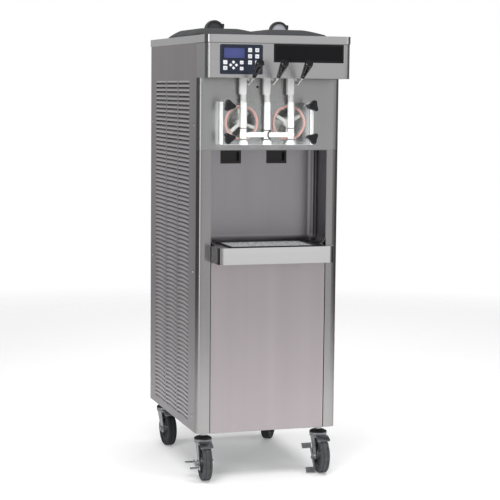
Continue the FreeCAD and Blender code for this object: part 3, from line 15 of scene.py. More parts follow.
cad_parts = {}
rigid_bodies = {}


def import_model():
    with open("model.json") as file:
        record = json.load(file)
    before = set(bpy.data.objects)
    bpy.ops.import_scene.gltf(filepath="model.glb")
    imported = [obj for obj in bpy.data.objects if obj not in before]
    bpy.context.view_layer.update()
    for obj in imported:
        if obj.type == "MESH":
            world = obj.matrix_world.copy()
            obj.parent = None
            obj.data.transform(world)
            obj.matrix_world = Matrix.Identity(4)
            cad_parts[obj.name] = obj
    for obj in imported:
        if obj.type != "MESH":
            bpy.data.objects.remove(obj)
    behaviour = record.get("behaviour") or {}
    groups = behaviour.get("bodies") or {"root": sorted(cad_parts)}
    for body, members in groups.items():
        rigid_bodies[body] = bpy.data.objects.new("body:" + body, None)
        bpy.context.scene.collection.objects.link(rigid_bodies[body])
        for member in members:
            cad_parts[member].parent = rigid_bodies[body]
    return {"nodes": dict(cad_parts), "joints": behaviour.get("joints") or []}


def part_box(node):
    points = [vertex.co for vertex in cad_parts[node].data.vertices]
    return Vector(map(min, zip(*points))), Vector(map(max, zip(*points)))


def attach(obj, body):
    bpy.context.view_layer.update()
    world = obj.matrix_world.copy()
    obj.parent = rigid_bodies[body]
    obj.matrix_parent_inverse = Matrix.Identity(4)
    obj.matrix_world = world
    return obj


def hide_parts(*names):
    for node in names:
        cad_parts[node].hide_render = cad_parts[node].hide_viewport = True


MM = 0.001
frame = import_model()
nodes = frame["nodes"]
joints = {joint["name"]: joint for joint in frame["joints"]}
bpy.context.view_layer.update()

CENTRE_X = sum(corner.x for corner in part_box("side_panels")) / 2
FRONT_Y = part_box("corner_columns")[0].y


def spot(x, y, z):
    """Cabinet millimetres to the frame's metres."""
    return Vector((CENTRE_X + x * MM, FRONT_Y + y * MM, z * MM))


def cabinet_box(node):
    """A CAD node's lowest and highest corner as cabinet millimetres."""
    shift = Vector((CENTRE_X, FRONT_Y, 0))
    return [(corner - shift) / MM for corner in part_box(node)]


# ---- sizes in millimetres
SPOUTS = {side: sum(c.x for c in cabinet_box(f"{side}_spigot")) / 2 for side in ("left", "centre", "right")}
SPIGOT_Y = sum(c.y for c in cabinet_box("centre_spigot")) / 2
SPIGOT_RADIUS = 12.0
O_RING_WIRE, O_RING_SUNK = 1.5, 0.15
O_RING_LEVELS = {"left": (1209.0, 1172.0), "centre": (1202.0, 1172.0), "right": (1209.0, 1172.0)}
BARREL_HEIGHT = 1227.0
CHANNEL_LEVEL, CHANNEL_RADIUS = 1187.0, 8.0
GRIP_FOOT = (-146.0, 1381.0)
GRIP_TIP = (-213.0, 1428.0)
KNOB_TURNS = {"upper_left": 80.0, "upper_right": 40.0, "lower_left": 100.0, "lower_right": 15.0}
LID_WIDTH, LID_LENGTH = 231.0, 430.0
LID_CENTRE_X, LID_CENTRE_Y = 119.5, 280.0
LID_BASE, LID_RISE = 1518.1, 28.0
WHEEL_RADIUS = 63.5
CASTERS = ("front_left", "front_right", "rear_left", "rear_right")


# ---- shader building
class Paint:
    """A material whose nodes are added one call at a time."""

    def __init__(self, name):
        self.material = bpy.data.materials.new(name)
        self.material.use_nodes = True
        self.tree = self.material.node_tree
        self.shader = self.tree.nodes["Principled BSDF"]
        self.output = self.tree.nodes["Material Output"]

    def feed(self, node, sockets):
        for socket, value in sockets.items():
            if isinstance(value, bpy.types.NodeSocket):
                self.tree.links.new(value, node.inputs[socket])
            else:
                node.inputs[socket].default_value = value

    def node(self, kind, sockets=None, **settings):
        made = self.tree.nodes.new(kind)
        for key, value in settings.items():
            setattr(made, key, value)
        self.feed(made, sockets or {})
        return made

    def principled(self, **sockets):
        self.feed(self.shader, {key.replace("_", " "): value for key, value in sockets.items()})

    def place(self):
        """Position in the frame, in metres."""
        return self.node("ShaderNodeTexCoord").outputs["Object"]

    def axes(self, vector=None):
        """The X, Y and Z of a vector, or of the place."""
        return self.node("ShaderNodeSeparateXYZ", {"Vector": vector or self.place()}).outputs

    def noise(self, scale, detail=3.0, rough=0.5):
        """Noise with its scale in cells per metre, one for all axes or one each."""
        scale = scale if isinstance(scale, tuple) else (scale,) * 3
        stretched = self.node("ShaderNodeMapping", {"Vector": self.place(), "Scale": scale}).outputs["Vector"]
        sockets = {"Vector": stretched, "Scale": 1.0, "Detail": detail, "Roughness": rough}
        return self.node("ShaderNodeTexNoise", sockets).outputs["Fac"]

    def remap(self, value, low, high, from_low=0.3, from_high=0.7):
        sockets = {"Value": value, "From Min": from_low, "From Max": from_high, "To Min": low, "To Max": high}
        return self.node("ShaderNodeMapRange", sockets).outputs["Result"]

    def math(self, operation, first, second=0.0):
        made = self.node("ShaderNodeMath", operation=operation)
        self.feed(made, {0: first, 1: second})
        return made.outputs[0]

    def product(self, first, *others):
        for other in others:
            first = self.math("MULTIPLY", first, other)
        return first

    def less(self, first, second):
        return self.math("SUBTRACT", first, second)

    def grey(self, level):
        return self.node("ShaderNodeCombineColor", {0: level, 1: level, 2: level}).outputs[0]

    def light_path(self, kind):
        return self.node("ShaderNodeLightPath").outputs[kind]

    def blend(self, amount, first, second, kind="MIX"):
        """Colour mix of first and second."""
        made = self.node("ShaderNodeMix", data_type="RGBA", blend_type=kind)
        self.feed(made, {0: amount, 6: first, 7: second})
        return made.outputs[2]

    def bump(self, height, strength, distance):
        sockets = {"Height": height, "Strength": strength, "Distance": distance}
        return self.node("ShaderNodeBump", sockets).outputs["Normal"]

    def mix(self, amount, first, second):
        """Shader mix of two nodes."""
        sockets = {0: amount, 1: first.outputs[0], 2: second.outputs[0]}
        return self.node("ShaderNodeMixShader", sockets)

    def show(self, shader):
        self.tree.links.new(shader.outputs[0], self.output.inputs["Surface"])


def rgba(colour):
    return (*colour, 1.0)


def scaled(colour, factor):
    return rgba([min(1.0, part * factor) for part in colour])


# ---- materials
GRAIN = {"x": (9.0, 900.0, 900.0), "y": (900.0, 9.0, 900.0), "z": (900.0, 900.0, 9.0)}
STREAK = {"x": (0.3, 17.0, 17.0), "y": (17.0, 0.3, 17.0), "z": (17.0, 17.0, 0.3)}


def steel(name, colour, other, grain="z", roughness=0.3, spread=0.5, shadows=(), streaks=0.035):
    """Brushed stainless: fine grain, long soft streaks and a slow drift between two tints.

    shadows are functions of the paint that return a factor for the colour, for painted shadow lines along
    seams and painted shade in shaded places."""
    paint = Paint(name)
    streak = paint.noise(STREAK[grain], 3.0, 0.5)
    cloud = paint.noise((3.1, 3.1, 2.3), 2.0)
    tint = paint.blend(paint.remap(cloud, 0.0, 1.0), rgba(colour), rgba(other))
    shade = paint.remap(streak, 1.0 - streaks, 1.0 + streaks)
    shade = paint.product(shade, *[shadow(paint) for shadow in shadows])
    worn = paint.remap(streak, -0.02, 0.02)
    tangent = paint.node("ShaderNodeTangent", direction_type="RADIAL", axis="Z").outputs["Tangent"]
    paint.principled(Base_Color=paint.blend(1.0, tint, paint.grey(shade), "MULTIPLY"), Metallic=1.0,
                     Roughness=paint.math("ADD", worn, roughness), Anisotropic=spread,
                     Anisotropic_Rotation=0.25 if grain == "z" else 0.0, Tangent=tangent,
                     Normal=paint.bump(paint.noise(GRAIN[grain], 2.0), 0.05, 0.0002))
    return paint.material


def seam(axis, place, width, depth):
    """Painted shadow line along a sheet's edge: axis is X, Y or Z, place and width are cabinet millimetres.
    """
    at = {"X": CENTRE_X, "Y": FRONT_Y, "Z": 0.0}[axis] + place * MM

    def shadow(paint):
        away = paint.math("ABSOLUTE", paint.less(paint.axes()[axis], at))
        return paint.remap(away, 1.0 - depth, 1.0, 0.0, width * MM)

    return shadow


def turned_faces(sideways, upward):
    """Shade on faces that look sideways or upward, as on the walls, floor and coves of a recess."""

    def shadow(paint):
        x, _, z = paint.axes(paint.node("ShaderNodeNewGeometry").outputs["Normal"])
        turned = paint.remap(paint.math("ABSOLUTE", x), 1.0, 1.0 - sideways, 0.08, 0.55)
        raised = paint.remap(z, 1.0, 1.0 - upward, 0.08, 0.55)
        return paint.math("MINIMUM", turned, raised)

    return shadow


LOUVRE_FIRST, LOUVRE_PITCH, LOUVRE_TOP = 191.0, 15.1, 1368.0
LOUVRE_FRONT, LOUVRE_STEP, LOUVRE_LENGTH = 113.5, 158.5, 144.0
LOUVRE_BOW = -1.6
BOW_HEIGHTS = (0.4, 1.1)
SHADE_HEIGHTS = (0.4, 1.25)
SHIFT_HEIGHTS = (0.5, 1.3)


def louvre_painted_light(paint):
    """Painted shade in the upper slots that thins to a bowed painted shadow line lower down, and a painted
    highlight on each louvre's lip.
    """
    _, depth, height = paint.axes()
    middle = FRONT_Y + (LOUVRE_FRONT + LOUVRE_LENGTH / 2) * MM
    across = paint.math("DIVIDE", paint.less(depth, middle), LOUVRE_STEP * MM)
    aside = paint.math("PINGPONG", across, 0.5)
    in_column = paint.math("LESS_THAN", aside, LOUVRE_LENGTH / LOUVRE_STEP / 2)
    rows = paint.math("DIVIDE", paint.less(height, LOUVRE_FIRST * MM), LOUVRE_PITCH * MM)
    shift = paint.remap(height, 0.40, 0.12, *SHIFT_HEIGHTS)
    bow = paint.remap(height, LOUVRE_BOW, 0.0, *BOW_HEIGHTS)
    bowed = paint.product(paint.math("POWER", aside, 2.0), bow)
    wave = paint.math("PINGPONG", paint.less(paint.less(rows, shift), bowed), 0.5)
    # dark is the painted shade in each slot; lip is the painted highlight on the strip between slots
    dark = paint.remap(wave, paint.remap(height, 0.50, 0.03, *SHADE_HEIGHTS), 1.0, 0.10, 0.24)
    lip = paint.remap(wave, 1.0, paint.remap(height, 1.5, 2.1, *SHADE_HEIGHTS), 0.18, 0.36)
    in_block = paint.math("LESS_THAN", paint.math("ABSOLUTE", paint.less(across, 1.0)), 1.5)
    under_top = paint.math("LESS_THAN", height, LOUVRE_TOP * MM)
    over_foot = paint.math("GREATER_THAN", height, LOUVRE_FIRST * MM)
    inside = paint.product(paint.product(in_column, in_block), paint.product(under_top, over_foot))
    change = paint.less(paint.product(dark, lip), 1.0)
    return paint.math("ADD", 1.0, paint.product(inside, change))


def plated(name, colour, roughness=0.28, metal=1.0):
    """Bright zinc plate or drawn rod with small stains."""
    paint = Paint(name)
    stain = paint.noise(90.0, 4.0, 0.6)
    tint = paint.blend(paint.remap(stain, 0.0, 1.0, 0.4, 0.7), rgba(colour), scaled(colour, 0.78))
    paint.principled(Base_Color=tint, Metallic=metal,
                     Roughness=paint.remap(stain, roughness * 0.7, roughness * 1.5),
                     Normal=paint.bump(stain, 0.08, 0.0004))
    return paint.material


def plastic(name, colour, roughness=0.4, pore=700.0, depth=0.12, coat=0.0, worn=0.12, shine=0.5):
    """Moulded plastic: pored skin, a little rub that changes its gloss, and slightly uneven colour."""
    paint = Paint(name)
    skin = paint.noise(pore, 2.0)
    rub = paint.noise(22.0, 4.0, 0.6)
    tint = paint.blend(paint.remap(rub, 0.0, 1.0), scaled(colour, 0.94), scaled(colour, 1.08))
    paint.principled(Base_Color=tint, Roughness=paint.remap(rub, roughness, roughness + worn),
                     Coat_Weight=coat, Coat_Roughness=0.12, Specular_IOR_Level=shine,
                     Normal=paint.bump(skin, depth, 0.0003))
    return paint.material


def rubber(name, colour, scuff):
    """Tyre rubber with floor dust on the tread."""
    paint = Paint(name)
    fine = paint.noise(420.0, 3.0)
    dust = paint.noise(55.0, 5.0, 0.7)
    tint = paint.blend(paint.remap(dust, 0.0, 0.75, 0.4, 0.75), rgba(colour), rgba(scuff))
    paint.principled(Base_Color=tint, Roughness=paint.remap(dust, 0.5, 0.8),
                     Normal=paint.bump(fine, 0.25, 0.0004))
    return paint.material


def milky(name, colour, glow=0.25, roughness=0.3):
    """White food-grade plastic with light passing a little way into it."""
    paint = Paint(name)
    mottle = paint.noise((40.0, 40.0, 25.0), 3.0)
    tint = paint.blend(paint.remap(mottle, 0.0, 1.0), scaled(colour, 0.97), scaled(colour, 1.02))
    paint.principled(Base_Color=tint, Roughness=paint.remap(mottle, roughness, roughness + 0.08),
                     Subsurface_Weight=glow, Subsurface_Radius=(0.006, 0.006, 0.005), Subsurface_Scale=1.0,
                     Normal=paint.bump(paint.noise(500.0, 2.0), 0.05, 0.0002))
    return paint.material


# FROST is the frosted faces' white, also given to them as a painted glow
FROST = (0.97, 0.98, 0.99, 1.0)
FROST_SKIN = 0.9
BORE_SKIN = 1.06


def clear_block(name, node):
    """Polished clear plastic, frosted on its sawn side and lower faces and in its bored cross channel, where
    it has a painted glow.
    """
    low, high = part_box(node)
    paint = Paint(name)
    scratch = paint.noise((30.0, 30.0, 180.0), 4.0, 0.6)
    paint.principled(Base_Color=(0.975, 0.985, 0.985, 1.0), Transmission_Weight=1.0, IOR=1.14,
                     Roughness=paint.remap(scratch, 0.015, 0.06, 0.5, 0.8),
                     Coat_Weight=0.6, Coat_Roughness=0.03)
    frost_and_glow = paint.node("ShaderNodeBsdfPrincipled", {
        "Base Color": FROST, "Roughness": 0.35, "Transmission Weight": 0.1, "IOR": 1.3,
        # painted glow: the frosted faces emit their own white light
        "Emission Color": FROST, "Emission Strength": 0.28,
        "Normal": paint.bump(paint.noise(260.0), 0.2, 0.0003)})
    x, y, z = paint.axes()
    skin = FROST_SKIN * MM
    near_left = paint.math("LESS_THAN", x, low.x + skin)
    near_right = paint.math("GREATER_THAN", x, high.x - skin)
    near_foot = paint.math("LESS_THAN", z, low.z + skin)
    sides = paint.math("MAXIMUM", paint.math("MAXIMUM", near_left, near_right), near_foot)
    deep = paint.less(y, FRONT_Y + SPIGOT_Y * MM)
    high_up = paint.less(z, CHANNEL_LEVEL * MM)
    squares = paint.math("ADD", paint.product(deep, deep), paint.product(high_up, high_up))
    bored = paint.math("LESS_THAN", squares, (CHANNEL_RADIUS * BORE_SKIN * MM) ** 2)
    body = paint.mix(paint.math("MAXIMUM", sides, bored), paint.shader, frost_and_glow)
    lit = paint.node("ShaderNodeBsdfTransparent", {"Color": (0.96, 0.97, 0.97, 1.0)})
    paint.show(paint.mix(paint.light_path("Is Shadow Ray"), body, lit))
    return paint.material


def film(name, colour, roughness=0.22):
    """Printed overlay or smooth acrylic: flat, slightly orange-peeled, with faint wipe marks."""
    paint = Paint(name)
    wipe = paint.noise((9.0, 9.0, 60.0), 5.0, 0.65)
    tint = paint.blend(paint.remap(wipe, 0.0, 1.0), scaled(colour, 0.92), scaled(colour, 1.1))
    paint.principled(Base_Color=tint, Roughness=paint.remap(wipe, roughness, roughness + 0.12),
                     Specular_IOR_Level=0.25,
                     Normal=paint.bump(paint.noise(160.0, 2.0), 0.03, 0.0003))
    return paint.material


def backlit(name, node, dark, light):
    """Blue display with a fine dot matrix, brighter in its middle."""
    low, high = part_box(node)
    paint = Paint(name)
    x, _, z = paint.axes()
    across = paint.remap(x, -1.0, 1.0, low.x, high.x)
    upward = paint.remap(z, -1.0, 1.0, low.z, high.z)
    far = paint.math("ADD", paint.product(across, across), paint.product(upward, upward))
    dots = paint.noise(1100.0, 0.0)
    middle = paint.math("ADD", paint.remap(far, 1.0, 0.35, 0.0, 1.6), paint.remap(dots, -0.1, 0.1))
    tint = paint.blend(middle, rgba(dark), rgba(light))
    paint.principled(Base_Color=tint, Roughness=0.4, Coat_Weight=0.3, Coat_Roughness=0.05,
                     Emission_Color=tint, Emission_Strength=0.12)
    return paint.material


def shade(colour, factor):
    """The same colour, lighter or darker."""
    return tuple(part * factor for part in colour)


STEEL = (0.44, 0.43, 0.43)
COOL = (0.52, 0.52, 0.52)
MAUVE = (0.50, 0.465, 0.49)
WARM = (0.54, 0.49, 0.505)
PALE = (0.80, 0.795, 0.805)
BRIGHT = (0.98, 0.975, 0.985)

looks = {
    # the side panels carry the painted louvre shade and highlights
    "side": steel("brushed_side", MAUVE, shade(MAUVE, 1.08), "z", 0.3, 0.6, [louvre_painted_light], 0.07),
    "column": steel("brushed_column", STEEL, shade(STEEL, 1.06), "z", 0.17, 0.4),
    "front": steel("brushed_front", COOL, shade(COOL, 1.04), "z", 0.26, 0.5),
    # the header's seam is a painted shadow line just under the top band
    "header": steel("brushed_header", (0.70, 0.70, 0.70), (0.68, 0.675, 0.68), "x", 0.25, 0.4,
                    [seam("Z", 1492.0, 3.5, 0.6)]),
    "recess": steel("brushed_recess", (0.43, 0.42, 0.445), (0.45, 0.435, 0.455), "z", 0.3, 0.5,
                    [turned_faces(0.6, 0.5)]),
    # the lower panel's seams are painted shadow lines down its left and right edges
    "lower": steel("brushed_lower", WARM, shade(WARM, 1.05), "z", 0.3, 0.6,
                   [seam("X", -206.0, 2.6, 0.75), seam("X", 206.0, 2.6, 0.75)]),
    "apron": steel("brushed_apron", BRIGHT, shade(BRIGHT, 0.97), "x", 0.12, 0.2, [turned_faces(0.66, 0.15)]),
    "deck": steel("brushed_deck", PALE, shade(PALE, 0.96), "x", 0.09, 0.1),
    "back": steel("brushed_back", STEEL, COOL, "z", 0.34, 0.3),
    "rod": plated("drawn_rod", (0.93, 0.94, 0.95), 0.07),
    "grid": plated("grid_steel", (0.80, 0.81, 0.83), 0.25, 0.4),
    "zinc": plated("zinc_plate", (0.66, 0.68, 0.70), 0.34),
    "pan": steel("pan_steel", (0.72, 0.72, 0.73), (0.68, 0.69, 0.7), "y", 0.25, 0.2),
    "sheet": plated("galvanised_sheet", (0.5, 0.51, 0.52), 0.45),
    "white": milky("white_plastic", (0.93, 0.93, 0.92)),
    "pale": milky("pale_plastic", (0.72, 0.72, 0.70), 0.1, 0.35),
    "barrel": plated("barrel_steel", (0.88, 0.88, 0.88), 0.3, 0.45),
    "black": plastic("black_plastic", (0.005, 0.005, 0.006), 0.08, 600.0, 0.02, 0.0, 0.06, 0.5),
    "cap": plastic("cap_plastic", (0.022, 0.022, 0.024), 0.38, 500.0, 0.2),
    "lid": plastic("lid_plastic", (0.034, 0.035, 0.037), 0.42, 900.0, 0.2),
    "lid_rim": plastic("lid_rim_plastic", (0.012, 0.012, 0.013), 0.35, 900.0, 0.15),
    "lid_face": plastic("lid_face_plastic", (0.045, 0.045, 0.05), 0.3, 900.0, 0.1, 0.1),
    # painted light: the right lid's grip face is the same plastic painted pale for the light it catches
    "lid_face_pale": plastic("lid_face_pale_plastic", (0.42, 0.42, 0.46), 0.3, 900.0, 0.1, 0.3),
    "core": plastic("wheel_core_plastic", (0.035, 0.036, 0.038), 0.4, 500.0, 0.2),
    "tread": rubber("grey_rubber", (0.050, 0.051, 0.054), (0.12, 0.124, 0.13)),
    # painted shade: a darker copy of the tyre rubber for the rear wheels under the cabinet
    "tread_dark": rubber("shaded_rubber", (0.016, 0.017, 0.02), (0.035, 0.037, 0.04)),
    "seal": milky("pink_silicone", (0.74, 0.40, 0.35), 0.3, 0.35),
    "ring": plastic("o_ring_rubber", (0.012, 0.012, 0.013), 0.35, 500.0, 0.05),
    "clear": clear_block("clear_plastic", "freezer_door"),
    "overlay": film("overlay_film", (0.022, 0.027, 0.042)),
    "plate": film("plate_black", (0.004, 0.004, 0.005), 0.3),
    "key": film("key_white", (0.70, 0.71, 0.74), 0.3),
    "plate_line": film("plate_line", (0.03, 0.03, 0.032), 0.3),
    "mark": film("key_mark", (0.16, 0.17, 0.24), 0.3),
    "display": backlit("display_blue", "display_window", (0.03, 0.038, 0.125), (0.046, 0.06, 0.19)),
    "paint": plastic("black_paint", (0.02, 0.02, 0.02), 0.25, 300.0, 0.1, 0.4),
    "aluminium": plated("mill_aluminium", (0.66, 0.67, 0.68), 0.38),
    "copper": plated("copper_tube", (0.72, 0.40, 0.26), 0.3),
    "hole": plastic("dark_hole", (0.004, 0.004, 0.004), 0.6),
}

NODE_LOOKS = {
    "side": ["side_panels"],
    "column": ["corner_columns"],
    "front": ["freezer_front_panel"],
    "header": ["header_panel"],
    "recess": ["recess_liner"],
    "lower": ["lower_front_panel"],
    "apron": ["splash_shelf"],
    "deck": ["top_deck"],
    "back": ["rear_panel"],
    "rod": ["left_draw_handle", "centre_draw_handle", "right_draw_handle", "handle_bracket", "door_studs"],
    "zinc": [*(f"{name}_caster_yoke" for name in CASTERS), "front_left_brake_lever",
             "front_right_brake_lever"],
    "pan": ["mix_hoppers"],
    "barrel": ["freezing_cylinders"],
    "grid": ["drip_grid"],
    "sheet": ["base_frame", "control_box"],
    "white": ["left_spigot", "centre_spigot", "right_spigot", "spout_caps"],
    "pale": ["left_auger", "right_auger"],
    "black": ["left_drain_drawer", "right_drain_drawer", "cord_gland"],
    "cap": ["drip_tray"],
    "clear": ["freezer_door"],
    "overlay": ["keypad_overlay"],
    "plate": ["name_plate"],
    "display": ["display_window"],
    "paint": ["compressor", "gear_motors"],
    "aluminium": ["condenser", "condenser_fan"],
    "copper": ["refrigerant_lines"],
}

SOFT_EDGES = {
    "left_spigot": 0.9, "centre_spigot": 0.9, "right_spigot": 0.9, "drip_tray": 0.9, "drip_grid": 0.6,
    "left_drain_drawer": 1.0, "right_drain_drawer": 1.0, "front_left_brake_lever": 0.7,
    "front_right_brake_lever": 0.7, "gear_motors": 1.0, "compressor": 1.0,
    **{f"{name}_caster_yoke": 0.8 for name in CASTERS},
}


def paint_nodes():
    """Give every CAD node its material, and soften the edges of moulded and stamped ones."""
    for look, names in NODE_LOOKS.items():
        for name in names:
            mesh_slots = nodes[name].data.materials
            for index in range(len(mesh_slots)):
                mesh_slots[index] = looks[look]
    for name, width in SOFT_EDGES.items():
        bevel = nodes[name].modifiers.new("soft_edges", "BEVEL")
        bevel.width = width * MM
        bevel.segments = 2
        bevel.limit_method = "ANGLE"
        bevel.angle_limit = math.radians(50)
        bevel.harden_normals = True


# ---- mesh building
SMOOTH_ANGLE = math.radians(38)


def add_piece(name, points, faces, look, body, slot=None, stands_for=()):
    """A mesh piece of one material, smooth except at its sharp edges, riding on a CAD body."""
    mesh = bpy.data.meshes.new(name)
    mesh.from_pydata([tuple(point) for point in points], [], faces)
    mesh.validate()
    shape = bmesh.new()
    shape.from_mesh(mesh)
    bmesh.ops.recalc_face_normals(shape, faces=shape.faces)
    shape.to_mesh(mesh)
    shape.free()
    mesh.polygons.foreach_set("use_smooth", [True] * len(mesh.polygons))
    mesh.set_sharp_from_angle(angle=SMOOTH_ANGLE)
    mesh.materials.append(looks[look])
    piece = bpy.data.objects.new(name, mesh)
    bpy.context.scene.collection.objects.link(piece)
    if stands_for:
        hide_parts(*stands_for)
    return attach(piece, body)


def joined(parts):
    """Several (points, faces) as one."""
    points, faces = [], []
    for some_points, some_faces in parts:
        base = len(points)
        points += list(some_points)
        faces += [[base + index for index in face] for face in some_faces]
    return points, faces


def placed(part, matrix):
    points, faces = part
    return [matrix @ Vector(point) for point in points], faces


def axis_frame(origin, along, about=Vector((0, 0, 1))):
    """A matrix whose local z runs along a direction, with local millimetres at a frame point."""
    z = Vector(along).normalized()
    x = Vector(about).cross(z)
    x = x.normalized() if x.length > 1e-6 else z.orthogonal().normalized()
    y = z.cross(x)
    turn = Matrix((x, y, z)).transposed().to_4x4()
    return Matrix.Translation(origin) @ turn @ Matrix.Scale(MM, 4)


def softened(outline, steps=4):
    """Points (a, b, rounding): each corner with a rounding becomes a short curve of steps pieces."""
    made = []
    count = len(outline)
    for index, (a, b, *rounding) in enumerate(outline):
        corner = Vector((a, b))
        reach = rounding[0] if rounding else 0.0
        if not reach or index in (0, count - 1):
            made.append(corner)
            continue
        before = Vector(outline[index - 1][:2])
        after = Vector(outline[index + 1][:2])
        into = before - corner
        out = after - corner
        start = corner + into.normalized() * min(reach, into.length * 0.49)
        end = corner + out.normalized() * min(reach, out.length * 0.49)
        for step in range(steps + 1):
            t = step / steps
            made.append(start * (1 - t) ** 2 + corner * 2 * t * (1 - t) + end * t ** 2)
    return made


def circle(count):
    """Cosine and sine of evenly spaced angles round a circle."""
    angles = [2 * math.pi * index / count for index in range(count)]
    return [(math.cos(angle), math.sin(angle)) for angle in angles]


def lathed(outline, sides=48):
    """Turn an outline of (radius, height) about local z; ends at radius 0 close to a point."""
    points, rings = [], []
    for radius, height in outline:
        if radius < 1e-6:
            rings.append([len(points)])
            points.append((0, 0, height))
            continue
        rings.append(list(range(len(points), len(points) + sides)))
        points += [(radius * cosine, radius * sine, height) for cosine, sine in circle(sides)]
    faces = []
    for low, high in zip(rings, rings[1:]):
        for side in range(sides):
            after = (side + 1) % sides
            if len(low) == 1 and len(high) > 1:
                faces.append([low[0], high[side], high[after]])
            elif len(high) == 1 and len(low) > 1:
                faces.append([low[side], low[after], high[0]])
            elif len(low) > 1:
                faces.append([low[side], low[after], high[after], high[side]])
    return points, faces


def closed_lathe(outline, sides=48):
    """Turn a closed outline, such as a ring's section."""
    points, faces = lathed(outline, sides)
    count = len(outline)
    for side in range(sides):
        after = (side + 1) % sides
        first, last = side, (count - 1) * sides + side
        faces.append([last, (count - 1) * sides + after, after, first])
    return points, faces


def ring_of(radius, wire, sides, wire_sides=12):
    """A round ring of wire."""
    section = [(radius + wire * cosine, wire * sine) for cosine, sine in circle(wire_sides)]
    return closed_lathe(section, sides)


def mirrored(half):
    """A closed section from its half on the positive side of local z."""
    return [(radius, -height) for radius, height in reversed(half)] + half


def lofted(rings, low_cap=True, high_cap=True):
    """Skin between rings with the same number of points."""
    size = len(rings[0])
    points = [point for ring in rings for point in ring]
    faces = []
    for level in range(len(rings) - 1):
        for index in range(size):
            after = (index + 1) % size
            low, high = level * size, (level + 1) * size
            faces.append([low + index, low + after, high + after, high + index])
    if low_cap:
        faces.append(list(range(size))[::-1])
    if high_cap:
        faces.append([(len(rings) - 1) * size + index for index in range(size)])
    return points, faces


def swept(path, radius, sides=16):
    """A round rod along a path of points, with flat ends."""
    path = [Vector(point) for point in path]
    side_way = None
    rings = []
    for index, point in enumerate(path):
        before = path[max(index - 1, 0)]
        after = path[min(index + 1, len(path) - 1)]
        along = (after - before).normalized()
        if side_way is None:
            side_way = along.orthogonal().normalized()
        side_way = (side_way - along * side_way.dot(along)).normalized()
        other = along.cross(side_way)
        rings.append([point + radius * (cosine * side_way + sine * other) for cosine, sine in circle(sides)])
    return lofted(rings)


def rounded_rectangle(width, depth, radius, level, centre=(0.0, 0.0), steps=8):
    """Points of a flat rectangle with arc corners at height level."""
    points = []
    x, y = width / 2 - radius, depth / 2 - radius
    for quarter, (side_x, side_y) in enumerate(((1, -1), (1, 1), (-1, 1), (-1, -1))):
        for step in range(steps + 1):
            angle = math.radians(90 * quarter - 90 + 90 * step / steps)
            points.append(Vector((centre[0] + side_x * x + radius * math.cos(angle),
                                  centre[1] + side_y * y + radius * math.sin(angle), level)))
    return points


def soft_slab(width, depth, height, corner, edge):
    """A rounded rectangular slab from z 0 to height with a rolled upper edge."""
    steps = 4
    rings = [rounded_rectangle(width, depth, corner, 0.0)]
    for step in range(steps + 1):
        angle = math.pi / 2 * step / steps
        inset = edge * (1 - math.cos(angle))
        rings.append(rounded_rectangle(width - 2 * inset, depth - 2 * inset, max(corner - inset, 0.05),
                                       height - edge + edge * math.sin(angle)))
    return lofted(rings)


def brick(low, high):
    """A box between two corners."""
    (x0, y0, z0), (x1, y1, z1) = low, high
    points = [(x, y, z) for z in (z0, z1) for y in (y0, y1) for x in (x0, x1)]
    faces = [[0, 2, 3, 1], [4, 5, 7, 6], [0, 1, 5, 4], [1, 3, 7, 5], [3, 2, 6, 7], [2, 0, 4, 6]]
    return points, faces


FACING = Vector((0, -1, 0))


def on_front(x, y, z):
    """Frame for a part that lies on a front-facing surface: local z points to the viewer, local y up."""
    return Matrix.Translation(spot(x, y, z)) @ Matrix.Rotation(math.pi / 2, 4, "X") @ Matrix.Scale(MM, 4)


# ---- keypad, display and plate
KEY_RISE = 0.5
SQUARE_KEYS = (
    [(x, z, 13.4, 13.2) for x in (-106.0, -81.3) for z in (1467.7, 1447.3, 1427.2)]
    + [(-191.0, z, 14.0, 13.0) for z in (1426.9, 1408.3)]
    + [(-134.6, z, 12.0, 11.4) for z in (1426.5, 1407.0)]
)
ARROW_KEYS = ((-162.8, 1427.6), (-172.7, 1418.0), (-152.8, 1418.0), (-162.6, 1408.3))


def build_keys():
    """White membrane keys: ten squares, each with a plain mark, and a diamond of four."""
    face_y = cabinet_box("keypad_overlay")[0].y
    squares, marks, diamonds = [], [], []
    for index, (x, z, width, height) in enumerate(SQUARE_KEYS):
        squares.append(placed(soft_slab(width, height, KEY_RISE, 1.6, 0.35), on_front(x, face_y, z)))
        mark = soft_slab(width * 0.42, height * 0.1, 0.08, 0.4, 0.04)
        for shift in ((-1.6, 1.6) if index % 2 else (0.0,)):
            marks.append(placed(mark, on_front(x, face_y - KEY_RISE, z + shift)))
    for x, z in ARROW_KEYS:
        turn = Matrix.Rotation(math.pi / 4, 4, "Z")
        diamonds.append(placed(soft_slab(8.0, 8.0, KEY_RISE, 1.2, 0.35), on_front(x, face_y, z) @ turn))
    add_piece("keypad_keys", *joined(squares), "key", "cabinet", "overlay_film")
    add_piece("keypad_marks", *joined(marks), "mark", "cabinet", "overlay_film")
    add_piece("keypad_arrows", *joined(diamonds), "key", "cabinet", "overlay_film")


def frame_outline(width, height, corner, line, rise):
    """A thin raised line in the shape of a rounded rectangle."""
    outer = rounded_rectangle(width, height, corner, 0.0)
    rings = [outer, [p + Vector((0, 0, rise)) for p in outer]]
    inner = rounded_rectangle(width - 2 * line, height - 2 * line, corner - line, 0.0)
    rings += [[p + Vector((0, 0, rise)) for p in inner], inner]
    return lofted(rings, False, False)


def build_display_bezel():
    low, high = cabinet_box("display_window")
    centre = (low + high) / 2
    line = frame_outline(high.x - low.x + 2.4, high.z - low.z + 2.4, 1.6, 1.6, 0.35)
    matrix = on_front(centre.x, cabinet_box("keypad_overlay")[0].y, centre.z)
    add_piece("display_bezel", *placed(line, matrix), "hole", "cabinet", "overlay_film")


